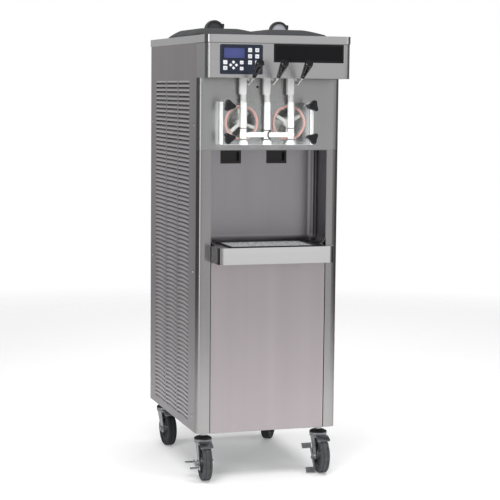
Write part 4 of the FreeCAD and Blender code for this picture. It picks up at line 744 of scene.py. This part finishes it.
def build_plate_border():
    """Fine line set in from the edge of the blank name plate."""
    low, high = cabinet_box("name_plate")
    centre = (low + high) / 2
    line = frame_outline(high.x - low.x - 9.0, high.z - low.z - 9.0, 3.0, 0.7, 0.12)
    matrix = on_front(centre.x, low.y, centre.z)
    add_piece("name_plate_border", *placed(line, matrix), "plate_line", "cabinet", "plate_black")


def build_weep_plug():
    plug = lathed(softened([(0, 0), (4.2, 0), (4.2, 1.2, 0.8), (3.0, 1.8, 0.6), (0, 1.8)]), 32)
    add_piece("weep_plug", *placed(plug, on_front(-46.5, 0.0, 1347.5)), "cap", "cabinet", "black_plastic")


# ---- draw handles, plungers and door
def build_grips():
    """Black grips: slim foot, full rounded end, with a moulding line on each side."""
    for side, x in SPOUTS.items():
        foot, tip = spot(x, *GRIP_FOOT), spot(x, *GRIP_TIP)
        length = (tip - foot).length / MM
        outline = softened([(5.1, 0.6), (5.1, 0.0), (7.1, 0.0, 0.8), (7.6, length * 0.12, 6.0),
                            (11.2, length * 0.52, 20.0), (14.1, length * 0.84, 9.0),
                            (13.4, length - 2.2, 3.8), (8.6, length - 0.1, 4.4), (0.0, length - 0.1)], 6)
        shape = lathed(outline, 40)
        seam = []
        for way in (-1, 1):
            path = [(way * (p[0] - 0.35), 0, p[1]) for p in outline[9:-2]]
            seam.append(swept(path, 0.5, 8))
        matrix = axis_frame(foot, tip - foot, Vector((1, 0, 0)))
        add_piece(f"{side}_grip_moulding", *placed(joined([shape] + seam), matrix), "black",
                  f"{side}_handle", "black_plastic", [f"{side}_handle_grip"])


def build_o_rings():
    """Black O-rings in the plungers' grooves."""
    for side, x in SPOUTS.items():
        ring = ring_of(SPIGOT_RADIUS - O_RING_SUNK, O_RING_WIRE, 40)
        rings = [placed(ring, axis_frame(spot(x, SPIGOT_Y, z), (0, 0, 1))) for z in O_RING_LEVELS[side]]
        add_piece(f"{side}_o_rings", *joined(rings), "ring", f"{side}_plunger", "black_plastic")


SADDLE_RADIUS, SADDLE_WIRE = 14.0, 2.5


def build_saddle_seal():
    """Black saddle ring round the cross port in the middle plunger's side."""
    reach = SPIGOT_RADIUS + 1.0
    path = []
    for step in range(33):
        turn = math.radians(-90 + 180 * step / 32)
        across = reach - (reach - 0.5) * math.cos(turn)
        back = math.sqrt(max(reach ** 2 - across ** 2, 0.0))
        path.append(spot(SPOUTS["centre"] + across, SPIGOT_Y - back,
                         CHANNEL_LEVEL + SADDLE_RADIUS * math.sin(turn)))
    add_piece("centre_saddle_seal", *swept(path, SADDLE_WIRE * MM, 10), "ring", "centre_plunger",
              "black_plastic")


def build_seals():
    """Two soft pink rings with a rounded lip, pressed between barrels and door."""
    high = cabinet_box("door_seals")[1]
    for side in ("left", "right"):
        section = softened([(52.4, 0.4), (52.4, 4.6, 1.0), (55.0, 4.9, 1.2), (58.4, 4.6, 1.0),
                            (58.4, 0.4)], 3)
        shape = closed_lathe(section, 72)
        matrix = axis_frame(spot(SPOUTS[side], high.y, BARREL_HEIGHT), FACING)
        add_piece(f"{side}_door_seal", *placed(shape, matrix), "seal", "cabinet", "pink_silicone",
                  ["door_seals"] if side == "left" else [])


def build_dasher_flights():
    """Helical blades that scrape the barrel behind the front spider."""
    turns, start, end = 2.0, 22.0, 392.0
    inner, outer, thick, steps = 8.6, 47.5, 3.2, 120
    for side in ("left", "right"):
        rings = []
        for step in range(steps + 1):
            share = step / steps
            angle = 2 * math.pi * turns * share + math.radians(40 if side == "left" else 160)
            y = start + (end - start) * share
            arm = Vector((math.cos(angle), 0, math.sin(angle)))
            corners = ((inner, -thick / 2), (outer - 3, -thick / 2), (outer, 0), (outer - 3, thick / 2),
                       (inner, thick / 2))
            rings.append([spot(SPOUTS[side] + arm.x * r, y + shift, BARREL_HEIGHT + arm.z * r)
                          for r, shift in corners])
        add_piece(f"{side}_dasher_flight", *lofted(rings), "pale", f"{side}_dasher", "pale_plastic")


KNOB_SIDES = 72
KNOB_WAIST, KNOB_LOBE, KNOB_SHANK = 13.2, 7.8, 24.0


def build_knobs():
    """Three-lobed hand knobs: crowned lobed head with a dished face, collar and shank."""
    for name, turn in KNOB_TURNS.items():
        low, high = cabinet_box(f"{name}_knob")
        joint = Vector(joints[f"{name}_knob_turn"]["pos_m"])
        matrix = axis_frame(Vector((joint.x, FRONT_Y + high.y * MM, joint.z)), FACING)
        depth = high.y - low.y
        head = depth - KNOB_SHANK

        def lobed(share, level):
            ring = []
            for side, (cosine, sine) in enumerate(circle(KNOB_SIDES)):
                lobe = (0.5 + 0.5 * math.cos(3 * (2 * math.pi * side / KNOB_SIDES))) ** 1.5
                radius = (KNOB_WAIST + KNOB_LOBE * lobe) * share
                ring.append(Vector((radius * cosine, radius * sine, level)))
            return ring

        levels = [(0.62, head + 0.2), (0.9, head + 0.6), (0.98, head + 2.0), (1.0, head + 5.0),
                  (1.0, depth - 5.5), (0.985, depth - 3.2), (0.94, depth - 1.5), (0.86, depth - 0.5),
                  (0.76, depth - 0.1),
                  (0.6, depth - 0.3), (0.42, depth - 1.0), (0.2, depth - 1.3)]
        crown = lofted([lobed(share, level) for share, level in levels])
        spin = Matrix.Rotation(math.radians(turn - 90), 4, "Z")
        shank = lathed(softened([(0, 0), (8.9, 0), (8.9, head - 4, 1.5), (11.4, head - 2.5, 1.5),
                                 (11.4, head + 1), (0, head + 1)]), 40)
        add_piece(f"{name}_knob_moulding", *placed(joined([placed(crown, spin), shank]), matrix), "black",
                  f"{name}_knob", "black_plastic", [f"{name}_knob"])


# ---- hopper lids
PLATEAU_SHIFT = -20.0
GRIP_STEPS = 28
GRIP_RADIUS, GRIP_HALF, GRIP_HOLE = 34.5, 10.5, 27.0


def build_lid(side):
    """Moulded lid: rolled upright edge, dark rim bead, long crowned slopes and a half-round grip."""
    sign = -1 if side == "left" else 1
    centre = Vector((sign * LID_CENTRE_X, LID_CENTRE_Y))
    steps = 14

    def ring(inset_x, inset_y, level, shift=0.0):
        corner = 30.0 - min(inset_x, inset_y) * 0.25
        flat = rounded_rectangle(LID_WIDTH - 2 * inset_x, LID_LENGTH - 2 * inset_y, max(corner, 12.0), level,
                                 (centre.x + shift, centre.y), 10)
        return [spot(*point) for point in flat]

    rings = [ring(3.5, 3.5, LID_BASE + 0.2), ring(1.2, 1.2, LID_BASE + 0.2), ring(0.3, 0.3, LID_BASE + 1.2),
             ring(0.3, 0.3, LID_BASE + 5.6), ring(1.0, 1.0, LID_BASE + 6.6), ring(3.0, 3.0, LID_BASE + 7.0),
             ring(4.2, 4.2, LID_BASE + 7.8), ring(4.8, 4.8, LID_BASE + 9.2), ring(6.4, 6.4, LID_BASE + 10.4)]
    for step in range(1, steps + 1):
        share = step / steps
        rise = 0.6 * share + 0.4 * math.sin(share * math.pi / 2)
        rings.append(ring(6.4 + 44.0 * share, 6.4 + 62.0 * share, LID_BASE + 10.4 + 17.2 * rise,
                          PLATEAU_SHIFT * share))
    rings.append(ring(60.0, 84.0, LID_BASE + LID_RISE, PLATEAU_SHIFT))
    add_piece(f"{side}_lid_shell", *lofted(rings, False, True), "lid", f"{side}_lid", "dark_plastic",
              [f"{side}_hopper_lid"])
    bead = [ring(inset, inset, LID_BASE + rise)
            for inset, rise in ((0.1, 0.1), (-0.5, 1.0), (-0.5, 4.6), (0.2, 5.4))]
    add_piece(f"{side}_lid_bead", *lofted(bead, False, False), "lid_rim", f"{side}_lid", "dark_plastic")
    build_lid_grip(side, centre)


def half_disc(radius, depth, squash):
    """Outline of a half-round grip in local x and z, at local y = depth."""
    points = []
    for step in range(GRIP_STEPS + 1):
        angle = math.pi * step / GRIP_STEPS
        points.append(Vector((radius * math.cos(angle), depth, radius * squash * math.sin(angle))))
    return points


def build_lid_grip(side, centre):
    """Half-round grip: dark arch with a rolled rim, a recessed face each side and a catch on its right."""
    high = cabinet_box(f"{side}_hopper_lid")[1]
    foot = LID_BASE + LID_RISE - 1.0
    radius, half, hole = GRIP_RADIUS, GRIP_HALF, GRIP_HOLE
    squash = (high.z - foot) / radius
    origin = Matrix.Translation(spot(centre.x, centre.y, foot)) @ Matrix.Scale(MM, 4)
    near = [(hole, -half + 5.0), (hole, -half + 0.8), (hole + 0.8, -half), (radius - 2.2, -half),
            (radius - 0.6, -half + 0.8), (radius, -half + 2.6)]
    profile = near + [(reach, -y) for reach, y in reversed(near)]
    arch = lofted([half_disc(r, y, squash) for r, y in profile], False, False)
    catch = placed(soft_slab(9.0, 11.0, 13.0, 1.5, 1.2), Matrix.Translation((radius - 3.0, 0, 10.0)))
    skirt = lathed(softened([(radius + 5.5, 0.4), (radius + 2.5, 1.8, 1.5), (radius - 3.0, 3.2, 2.0),
                             (radius - 8.0, 3.4)]), 56)
    skirt = placed(skirt, Matrix.Diagonal((1, 0.62, 1, 1)))
    add_piece(f"{side}_lid_grip", *placed(joined([arch, catch, skirt]), origin), "lid_rim", f"{side}_lid",
              "dark_plastic")
    web = lofted([half_disc(r, y, squash) for r, y in ((hole + 0.2, -half + 5.0), (hole + 0.2, half - 5.0))])
    # painted light: the right lid's grip face gets the pale, lit copy of the face plastic
    face = "lid_face_pale" if side == "right" else "lid_face"
    add_piece(f"{side}_lid_grip_face", *placed(web, origin), face, f"{side}_lid", "dark_plastic")


# ---- casters
def build_wheel(name):
    """Rubber tyre on a ribbed core with a bearing cap each side."""
    joint = joints[f"{name}_roll"]
    matrix = axis_frame(Vector(joint["pos_m"]), Vector(joint["axis"]))
    body = f"{name}_wheel"
    r = WHEEL_RADIUS
    half = [(r - 0.2, 0.6), (r, 1.2), (r, 5.4), (r - 1.9, 6.0), (r - 1.9, 8.2), (r, 8.8),
            (r - 0.1, 12.0, 3.0), (r - 4.0, 15.9, 3.5), (r - 10.0, 15.6, 2.0), (r - 12.0, 14.2, 1.0),
            (r - 19.0, 13.6, 2.0),
            (r - 20.5, 12.0)]
    outline = mirrored(softened(half, 5))
    # painted shade: the rear tyres, deep under the cabinet, get the darker copy of the same rubber
    tread = "tread_dark" if "rear" in name else "tread"
    add_piece(f"{name}_tyre", *placed(closed_lathe(outline, 96), matrix), tread, body, "grey_rubber",
              [f"{name}_caster_wheel"])
    rim = [(r - 20.4, 12.6), (r - 22.6, 13.4, 1.0), (r - 24.6, 12.2, 1.0), (r - 25.4, 5.6, 2.0),
           (18.5, 4.6, 3.0), (16.6, 16.6, 2.0), (15.0, 18.2, 1.0), (9.8, 18.2), (9.4, 16.9), (6.0, 16.9)]
    core = [closed_lathe(mirrored(softened(rim)), 72)]
    for rib in range(8):
        turn = Matrix.Rotation(2 * math.pi * rib / 8, 4, "Z")
        for way in (-1, 1):
            low, high = sorted((way * 4.4, way * 10.6))
            core.append(placed(brick((17.0, -1.5, low), (r - 24.0, 1.5, high)), turn))
    add_piece(f"{name}_wheel_core", *placed(joined(core), matrix), "core", body, "grey_rubber")


NUT_CHAMFER = 0.8


def hexagon(across, height):
    """A hexagonal nut or bolt head from z 0 to height, across is the size across its flats."""
    rings = []
    edge = NUT_CHAMFER * 0.6
    for shrink, level in ((NUT_CHAMFER, 0.0), (0.0, edge), (0.0, height - edge), (NUT_CHAMFER, height)):
        reach = (across / 2 - shrink) / math.cos(math.pi / 6)
        rings.append([Vector((reach * math.cos(math.radians(60 * i + 30)),
                              reach * math.sin(math.radians(60 * i + 30)), level)) for i in range(6)])
    return lofted(rings)


def build_yoke_fittings(name):
    """Swivel race under the dust cap, and the axle's hexagonal head and nut."""
    swivel = Vector(joints[f"{name}_swivel"]["pos_m"])
    axle = joints[f"{name}_roll"]
    body = f"{name}_yoke"
    base = axis_frame(Vector((swivel.x, swivel.y, 0)), (0, 0, 1))
    race = softened([(20.0, 124.4), (25.0, 124.2), (30.4, 125.2, 1.5), (30.8, 128.0, 1.0), (28.6, 129.4, 0.8),
                     (28.6, 130.6, 0.8), (30.8, 132.0, 1.0), (30.8, 136.4, 1.0), (20.0, 137.0)], 3)
    add_piece(f"{name}_swivel_race", *placed(closed_lathe(race, 64), base), "zinc", body, "zinc")
    ends = []
    for way in (-1, 1):
        matrix = axis_frame(Vector(axle["pos_m"]), way * Vector(axle["axis"]))
        if way < 0 and "front" in name:
            head = lathed(softened([(0, 0), (7.2, 0), (7.2, 4.6, 1.6), (4.0, 5.9, 1.5), (0, 6.1)]), 32)
            ends.append(placed(head, matrix @ Matrix.Translation((0, 0, 23.3))))
            continue
        ends.append(placed(hexagon(15.0, 5.0), matrix @ Matrix.Translation((0, 0, 24.0))))
        washer = lathed(softened([(0, 0), (9.4, 0), (9.4, 1.0, 0.4), (0, 1.0)]), 32)
        ends.append(placed(washer, matrix @ Matrix.Translation((0, 0, 23.3))))
    add_piece(f"{name}_axle_hardware", *joined(ends), "rod", body, "zinc")


HOOD_START, HOOD_END = 100.0, 54.0
HOOD_RADII = (65.8, 68.4)


def build_yoke_hood(name):
    """Front of the pressed fork, wrapped a little way down over the wheel, with rounded lower corners."""
    axle = joints[f"{name}_roll"]
    inner, outer = HOOD_RADII
    steps = 22
    rings = []
    for step in range(steps + 1):
        share = step / steps
        angle = math.radians(HOOD_START + (HOOD_END - HOOD_START) * share)
        rounded = max(0.0, share - 0.86) / 0.14
        half = 22.6 - 6.0 * (1 - math.sqrt(max(0.0, 1 - rounded ** 2)))
        section = [(inner, -half), (inner, half), (outer - 0.6, half + 0.4), (outer, half - 0.5),
                   (outer, 0.5 - half), (outer - 0.6, -half - 0.4)]
        rings.append([Vector((-r * math.cos(angle), r * math.sin(angle), across)) for r, across in section])
    matrix = axis_frame(Vector(axle["pos_m"]), Vector(axle["axis"]))
    add_piece(f"{name}_fork_hood", *placed(lofted(rings), matrix), "zinc", f"{name}_yoke", "zinc")


def build_stems():
    """Threaded stems with their lock nuts and black dust caps, which stay with the cabinet."""
    threads, caps = [], []
    for name in CASTERS:
        swivel = Vector(joints[f"{name}_swivel"]["pos_m"])
        base = axis_frame(Vector((swivel.x, swivel.y, 0)), (0, 0, 1))
        outline = [(0, 131.5), (6.0, 131.5), (6.0, 150.0)]
        level = 150.0
        while level < 184.0:
            outline += [(6.5, level + 0.4), (5.7, level + 1.1)]
            level += 1.5
        outline += [(5.0, level), (0, level)]
        threads.append(placed(lathed(outline, 28), base))
        threads.append(placed(hexagon(22.0, 7.0), base @ Matrix.Translation((0, 0, 149.6))))
        cap = softened([(22.0, 137.9), (30.4, 137.6, 0.8), (31.0, 141.0, 1.5), (28.8, 142.6, 1.5),
                        (24.0, 145.6, 3.0), (16.0, 148.0, 3.0), (9.0, 148.6, 1.0), (8.2, 146.0)], 5)
        caps.append(placed(lathed(cap, 64), base))
    add_piece("caster_stem_threads", *joined(threads), "zinc", "cabinet", "zinc", ["caster_stems"])
    add_piece("caster_dust_caps", *joined(caps), "cap", "cabinet", "black_plastic")


# ---- fasteners
SCREW_DEPTHS = (60.0, 630.0)
SCREW_LEVELS = (218.0, 718.5, 1219.0)


def build_panel_screws():
    """Pan-head screws with a cross recess drawn as painted shade, three down each edge of both side panels.
    """
    low, high = cabinet_box("side_panels")
    heads, crosses = [], []
    head = lathed(softened([(0, 0), (5.0, 0.0), (5.0, 0.9, 0.5), (3.6, 2.1, 1.4), (0, 2.4)]), 28)
    slit = brick((-2.2, -0.45, 1.9), (2.2, 0.45, 2.46))
    for side_x, way in ((low.x, -1), (high.x, 1)):
        for y in SCREW_DEPTHS:
            for z in SCREW_LEVELS:
                matrix = axis_frame(spot(side_x, y, z), (way, 0, 0))
                heads.append(placed(head, matrix))
                for turn in (0.6, 0.6 + math.pi / 2):
                    crosses.append(placed(placed(slit, Matrix.Rotation(turn, 4, "Z")), matrix))
    add_piece("panel_screw_heads", *joined(heads), "rod", "cabinet", "bright_stainless", ["panel_screws"])
    # painted shade: each cross recess is a thin black cross at the head's top, standing for the shade inside
    # it
    add_piece("panel_screw_recess_shade", *joined(crosses), "hole", "cabinet", "bright_stainless")


# ---- stage, light and camera
FLOOR_REACH = 9.0
FLOOR_FADE = (1.6, 5.0)
FLOOR_COLOUR = (0.95, 0.95, 0.95, 1.0)
FLOOR_MIRRORED = ((0.74, 0.74, 0.74, 1.0), (0.40, 0.40, 0.40, 1.0))


def build_floor():
    """Pale round floor that fades into the pale surroundings."""
    mesh = bpy.data.meshes.new("studio_floor")
    count = 64
    rim = [(FLOOR_REACH * cosine, FLOOR_REACH * sine, 0) for cosine, sine in circle(count)]
    mesh.from_pydata(rim, [], [list(range(count))])
    floor = bpy.data.objects.new("studio_floor", mesh)
    bpy.context.scene.collection.objects.link(floor)
    paint = Paint("pale_floor")
    x, y, _ = paint.axes()
    dimmed = paint.blend(paint.remap(y, 0.0, 1.0, -0.6, 0.4), *FLOOR_MIRRORED)
    colour = paint.blend(paint.light_path("Is Glossy Ray"), FLOOR_COLOUR, dimmed)
    paint.principled(Base_Color=colour, Roughness=0.75, Specular_IOR_Level=0.2,
                     Emission_Color=FLOOR_COLOUR, Emission_Strength=0.2)
    squares = paint.math("ADD", paint.math("POWER", x, 2.0), paint.math("POWER", y, 2.0))
    far = paint.remap(paint.math("SQRT", squares), 0.0, 1.0, *FLOOR_FADE)
    paint.show(paint.mix(far, paint.shader, paint.node("ShaderNodeBsdfTransparent")))
    mesh.materials.append(paint.material)


# brightness of the studio round the object, by direction: degrees from the front, growing to the right
RING_ABOVE = ((-180, 0.50), (-166, 0.44), (-150, 0.12), (-76, 0.10), (-67, 1.7), (-59, 1.7), (-51, 0.45),
              (-10, 0.50), (20, 0.52), (34, 0.55), (42, 0.75), (66, 0.70), (76, 0.12), (120, 0.10),
              (150, 0.30), (180, 0.50))
RING_BELOW = ((-180, 0.42), (-166, 0.36), (-150, 0.10), (-72, 0.10), (-66, 1.6), (-58, 1.5), (-51, 0.50),
              (-10, 0.66), (20, 0.66), (34, 0.28), (60, 0.12), (120, 0.08), (150, 0.30), (180, 0.42))
STUDIO_HEIGHT = ((-1.0, 0.60), (-0.25, 0.80), (0.0, 0.95), (0.25, 1.05), (0.55, 0.55), (1.0, 0.35))
BACKDROP = 1.0


def ramp_of(paint, value, stops):
    """Smooth brightness ramp through (position 0 to 1, brightness) stops."""
    node = paint.tree.nodes.new("ShaderNodeValToRGB")
    node.color_ramp.interpolation = "EASE"
    elements = node.color_ramp.elements
    while len(elements) > 1:
        elements.remove(elements[-1])
    elements[0].position = stops[0][0]
    elements[0].color = (stops[0][1],) * 3 + (1.0,)
    for position, brightness in stops[1:]:
        elements.new(position).color = (brightness,) * 3 + (1.0,)
    paint.tree.links.new(value, node.inputs[0])
    return node.outputs[0]


class WorldPaint(Paint):
    """The same node helpers for the world's tree."""

    def __init__(self, world):
        self.tree = world.node_tree
        self.tree.nodes.clear()
        self.output = self.node("ShaderNodeOutputWorld")


def build_world():
    """Soft studio round the object for reflections; the camera itself sees a plain pale backdrop."""
    world = bpy.data.worlds.new("studio")
    bpy.context.scene.world = world
    world.use_nodes = True
    paint = WorldPaint(world)
    x, y, z = paint.axes(paint.node("ShaderNodeTexCoord").outputs["Generated"])
    turn = paint.math("ARCTAN2", x, paint.product(y, -1.0))
    around = paint.remap(turn, 0.0, 1.0, -math.pi, math.pi)
    upward = paint.remap(z, 0.0, 1.0, -1.0, 1.0)
    rings = [ramp_of(paint, around, [((degrees + 180) / 360, level / 4) for degrees, level in ring])
             for ring in (RING_BELOW, RING_ABOVE)]
    ring = paint.blend(paint.remap(z, 0.0, 1.0, -0.03, 0.03), *rings)
    height = ramp_of(paint, upward, [((rise + 1) / 2, level / 2) for rise, level in STUDIO_HEIGHT])
    glow = paint.blend(1.0, ring, height, "MULTIPLY")
    studio = paint.node("ShaderNodeBackground", {"Color": glow, "Strength": 8.0})
    plain = paint.node("ShaderNodeBackground", {"Color": rgba((BACKDROP,) * 3), "Strength": 1.0})
    paint.show(paint.mix(paint.light_path("Is Camera Ray"), studio, plain))


def add_softbox(name, place, target, width, height, power, mirrored=False):
    """Rectangular lamp at a point, facing another, in metres and watts."""
    lamp = bpy.data.lights.new(name, "AREA")
    lamp.shape = "RECTANGLE"
    lamp.size = width
    lamp.size_y = height
    lamp.energy = power
    box = bpy.data.objects.new(name, lamp)
    box.location = place
    box.rotation_euler = (Vector(target) - Vector(place)).to_track_quat("-Z", "Y").to_euler()
    box.visible_camera = False
    box.visible_glossy = mirrored
    bpy.context.scene.collection.objects.link(box)
    return box


def shine_only_on(box, wanted):
    """Let a lamp reach only the objects that use one of the wanted materials."""
    reached = bpy.data.collections.new(f"{box.name}_reach")
    for item in bpy.context.scene.objects:
        if any(slot.material in wanted for slot in item.material_slots):
            reached.objects.link(item)
    box.light_linking.receiver_collection = reached


def build_lights():
    add_softbox("overhead_softbox", (0.0, -0.4, 3.4), (0.0, 0.0, 0.0), 3.6, 3.6, 128.0)
    add_softbox("key_softbox", (-2.6, -3.4, 2.6), (0.0, -0.2, 1.1), 1.6, 1.6, 60.0)
    add_softbox("fill_softbox", (3.0, -3.0, 1.6), (0.0, -0.2, 1.0), 1.6, 1.6, 22.0)
    glint = add_softbox("glint_softbox", (-2.2, -2.4, 3.0), (0.0, -0.4, 1.3), 1.5, 1.3, 150.0, True)
    shine_only_on(glint, [looks[name] for name in ("black", "lid_rim", "core")])
    add_softbox("rear_softbox", (1.6, 3.4, 2.4), (0.0, 0.2, 1.0), 1.8, 1.8, 30.0)


CAMERA_PLACE = (-1654.1, -5024.5, 1338.1)
CAMERA_AZIMUTH, CAMERA_DOWN, CAMERA_ROLL = 17.533, 6.014, 0.55
CAMERA_LENS, CAMERA_SENSOR = 111.7, 36.0


def build_camera():
    """Camera at the viewing height of a standing person, a little to the machine's left."""
    turn, down, roll = (math.radians(angle) for angle in (CAMERA_AZIMUTH, CAMERA_DOWN, CAMERA_ROLL))
    forward = Vector((math.sin(turn) * math.cos(down), math.cos(turn) * math.cos(down), -math.sin(down)))
    right = Vector((math.cos(turn), -math.sin(turn), 0))
    up = right.cross(forward)
    tilted_right = right * math.cos(roll) + up * math.sin(roll)
    tilted_up = up * math.cos(roll) - right * math.sin(roll)
    data = bpy.data.cameras.new("view_camera")
    data.sensor_width = CAMERA_SENSOR
    data.lens = CAMERA_LENS
    data.shift_x, data.shift_y = -0.0003, 0.0061
    camera = bpy.data.objects.new("view_camera", data)
    camera.matrix_world = (Matrix.Translation(spot(*CAMERA_PLACE))
                           @ Matrix((tilted_right, tilted_up, -forward)).transposed().to_4x4())
    bpy.context.scene.collection.objects.link(camera)
    bpy.context.scene.camera = camera


def build_everything():
    paint_nodes()
    build_keys()
    build_display_bezel()
    build_plate_border()
    build_weep_plug()
    build_grips()
    build_o_rings()
    build_saddle_seal()
    build_seals()
    build_dasher_flights()
    build_knobs()
    for side in ("left", "right"):
        build_lid(side)
    for name in CASTERS:
        build_wheel(name)
        build_yoke_fittings(name)
        build_yoke_hood(name)
    build_stems()
    build_panel_screws()


build_everything()
build_floor()
build_world()
build_lights()
build_camera()
bpy.context.scene.view_settings.view_transform = "Standard"
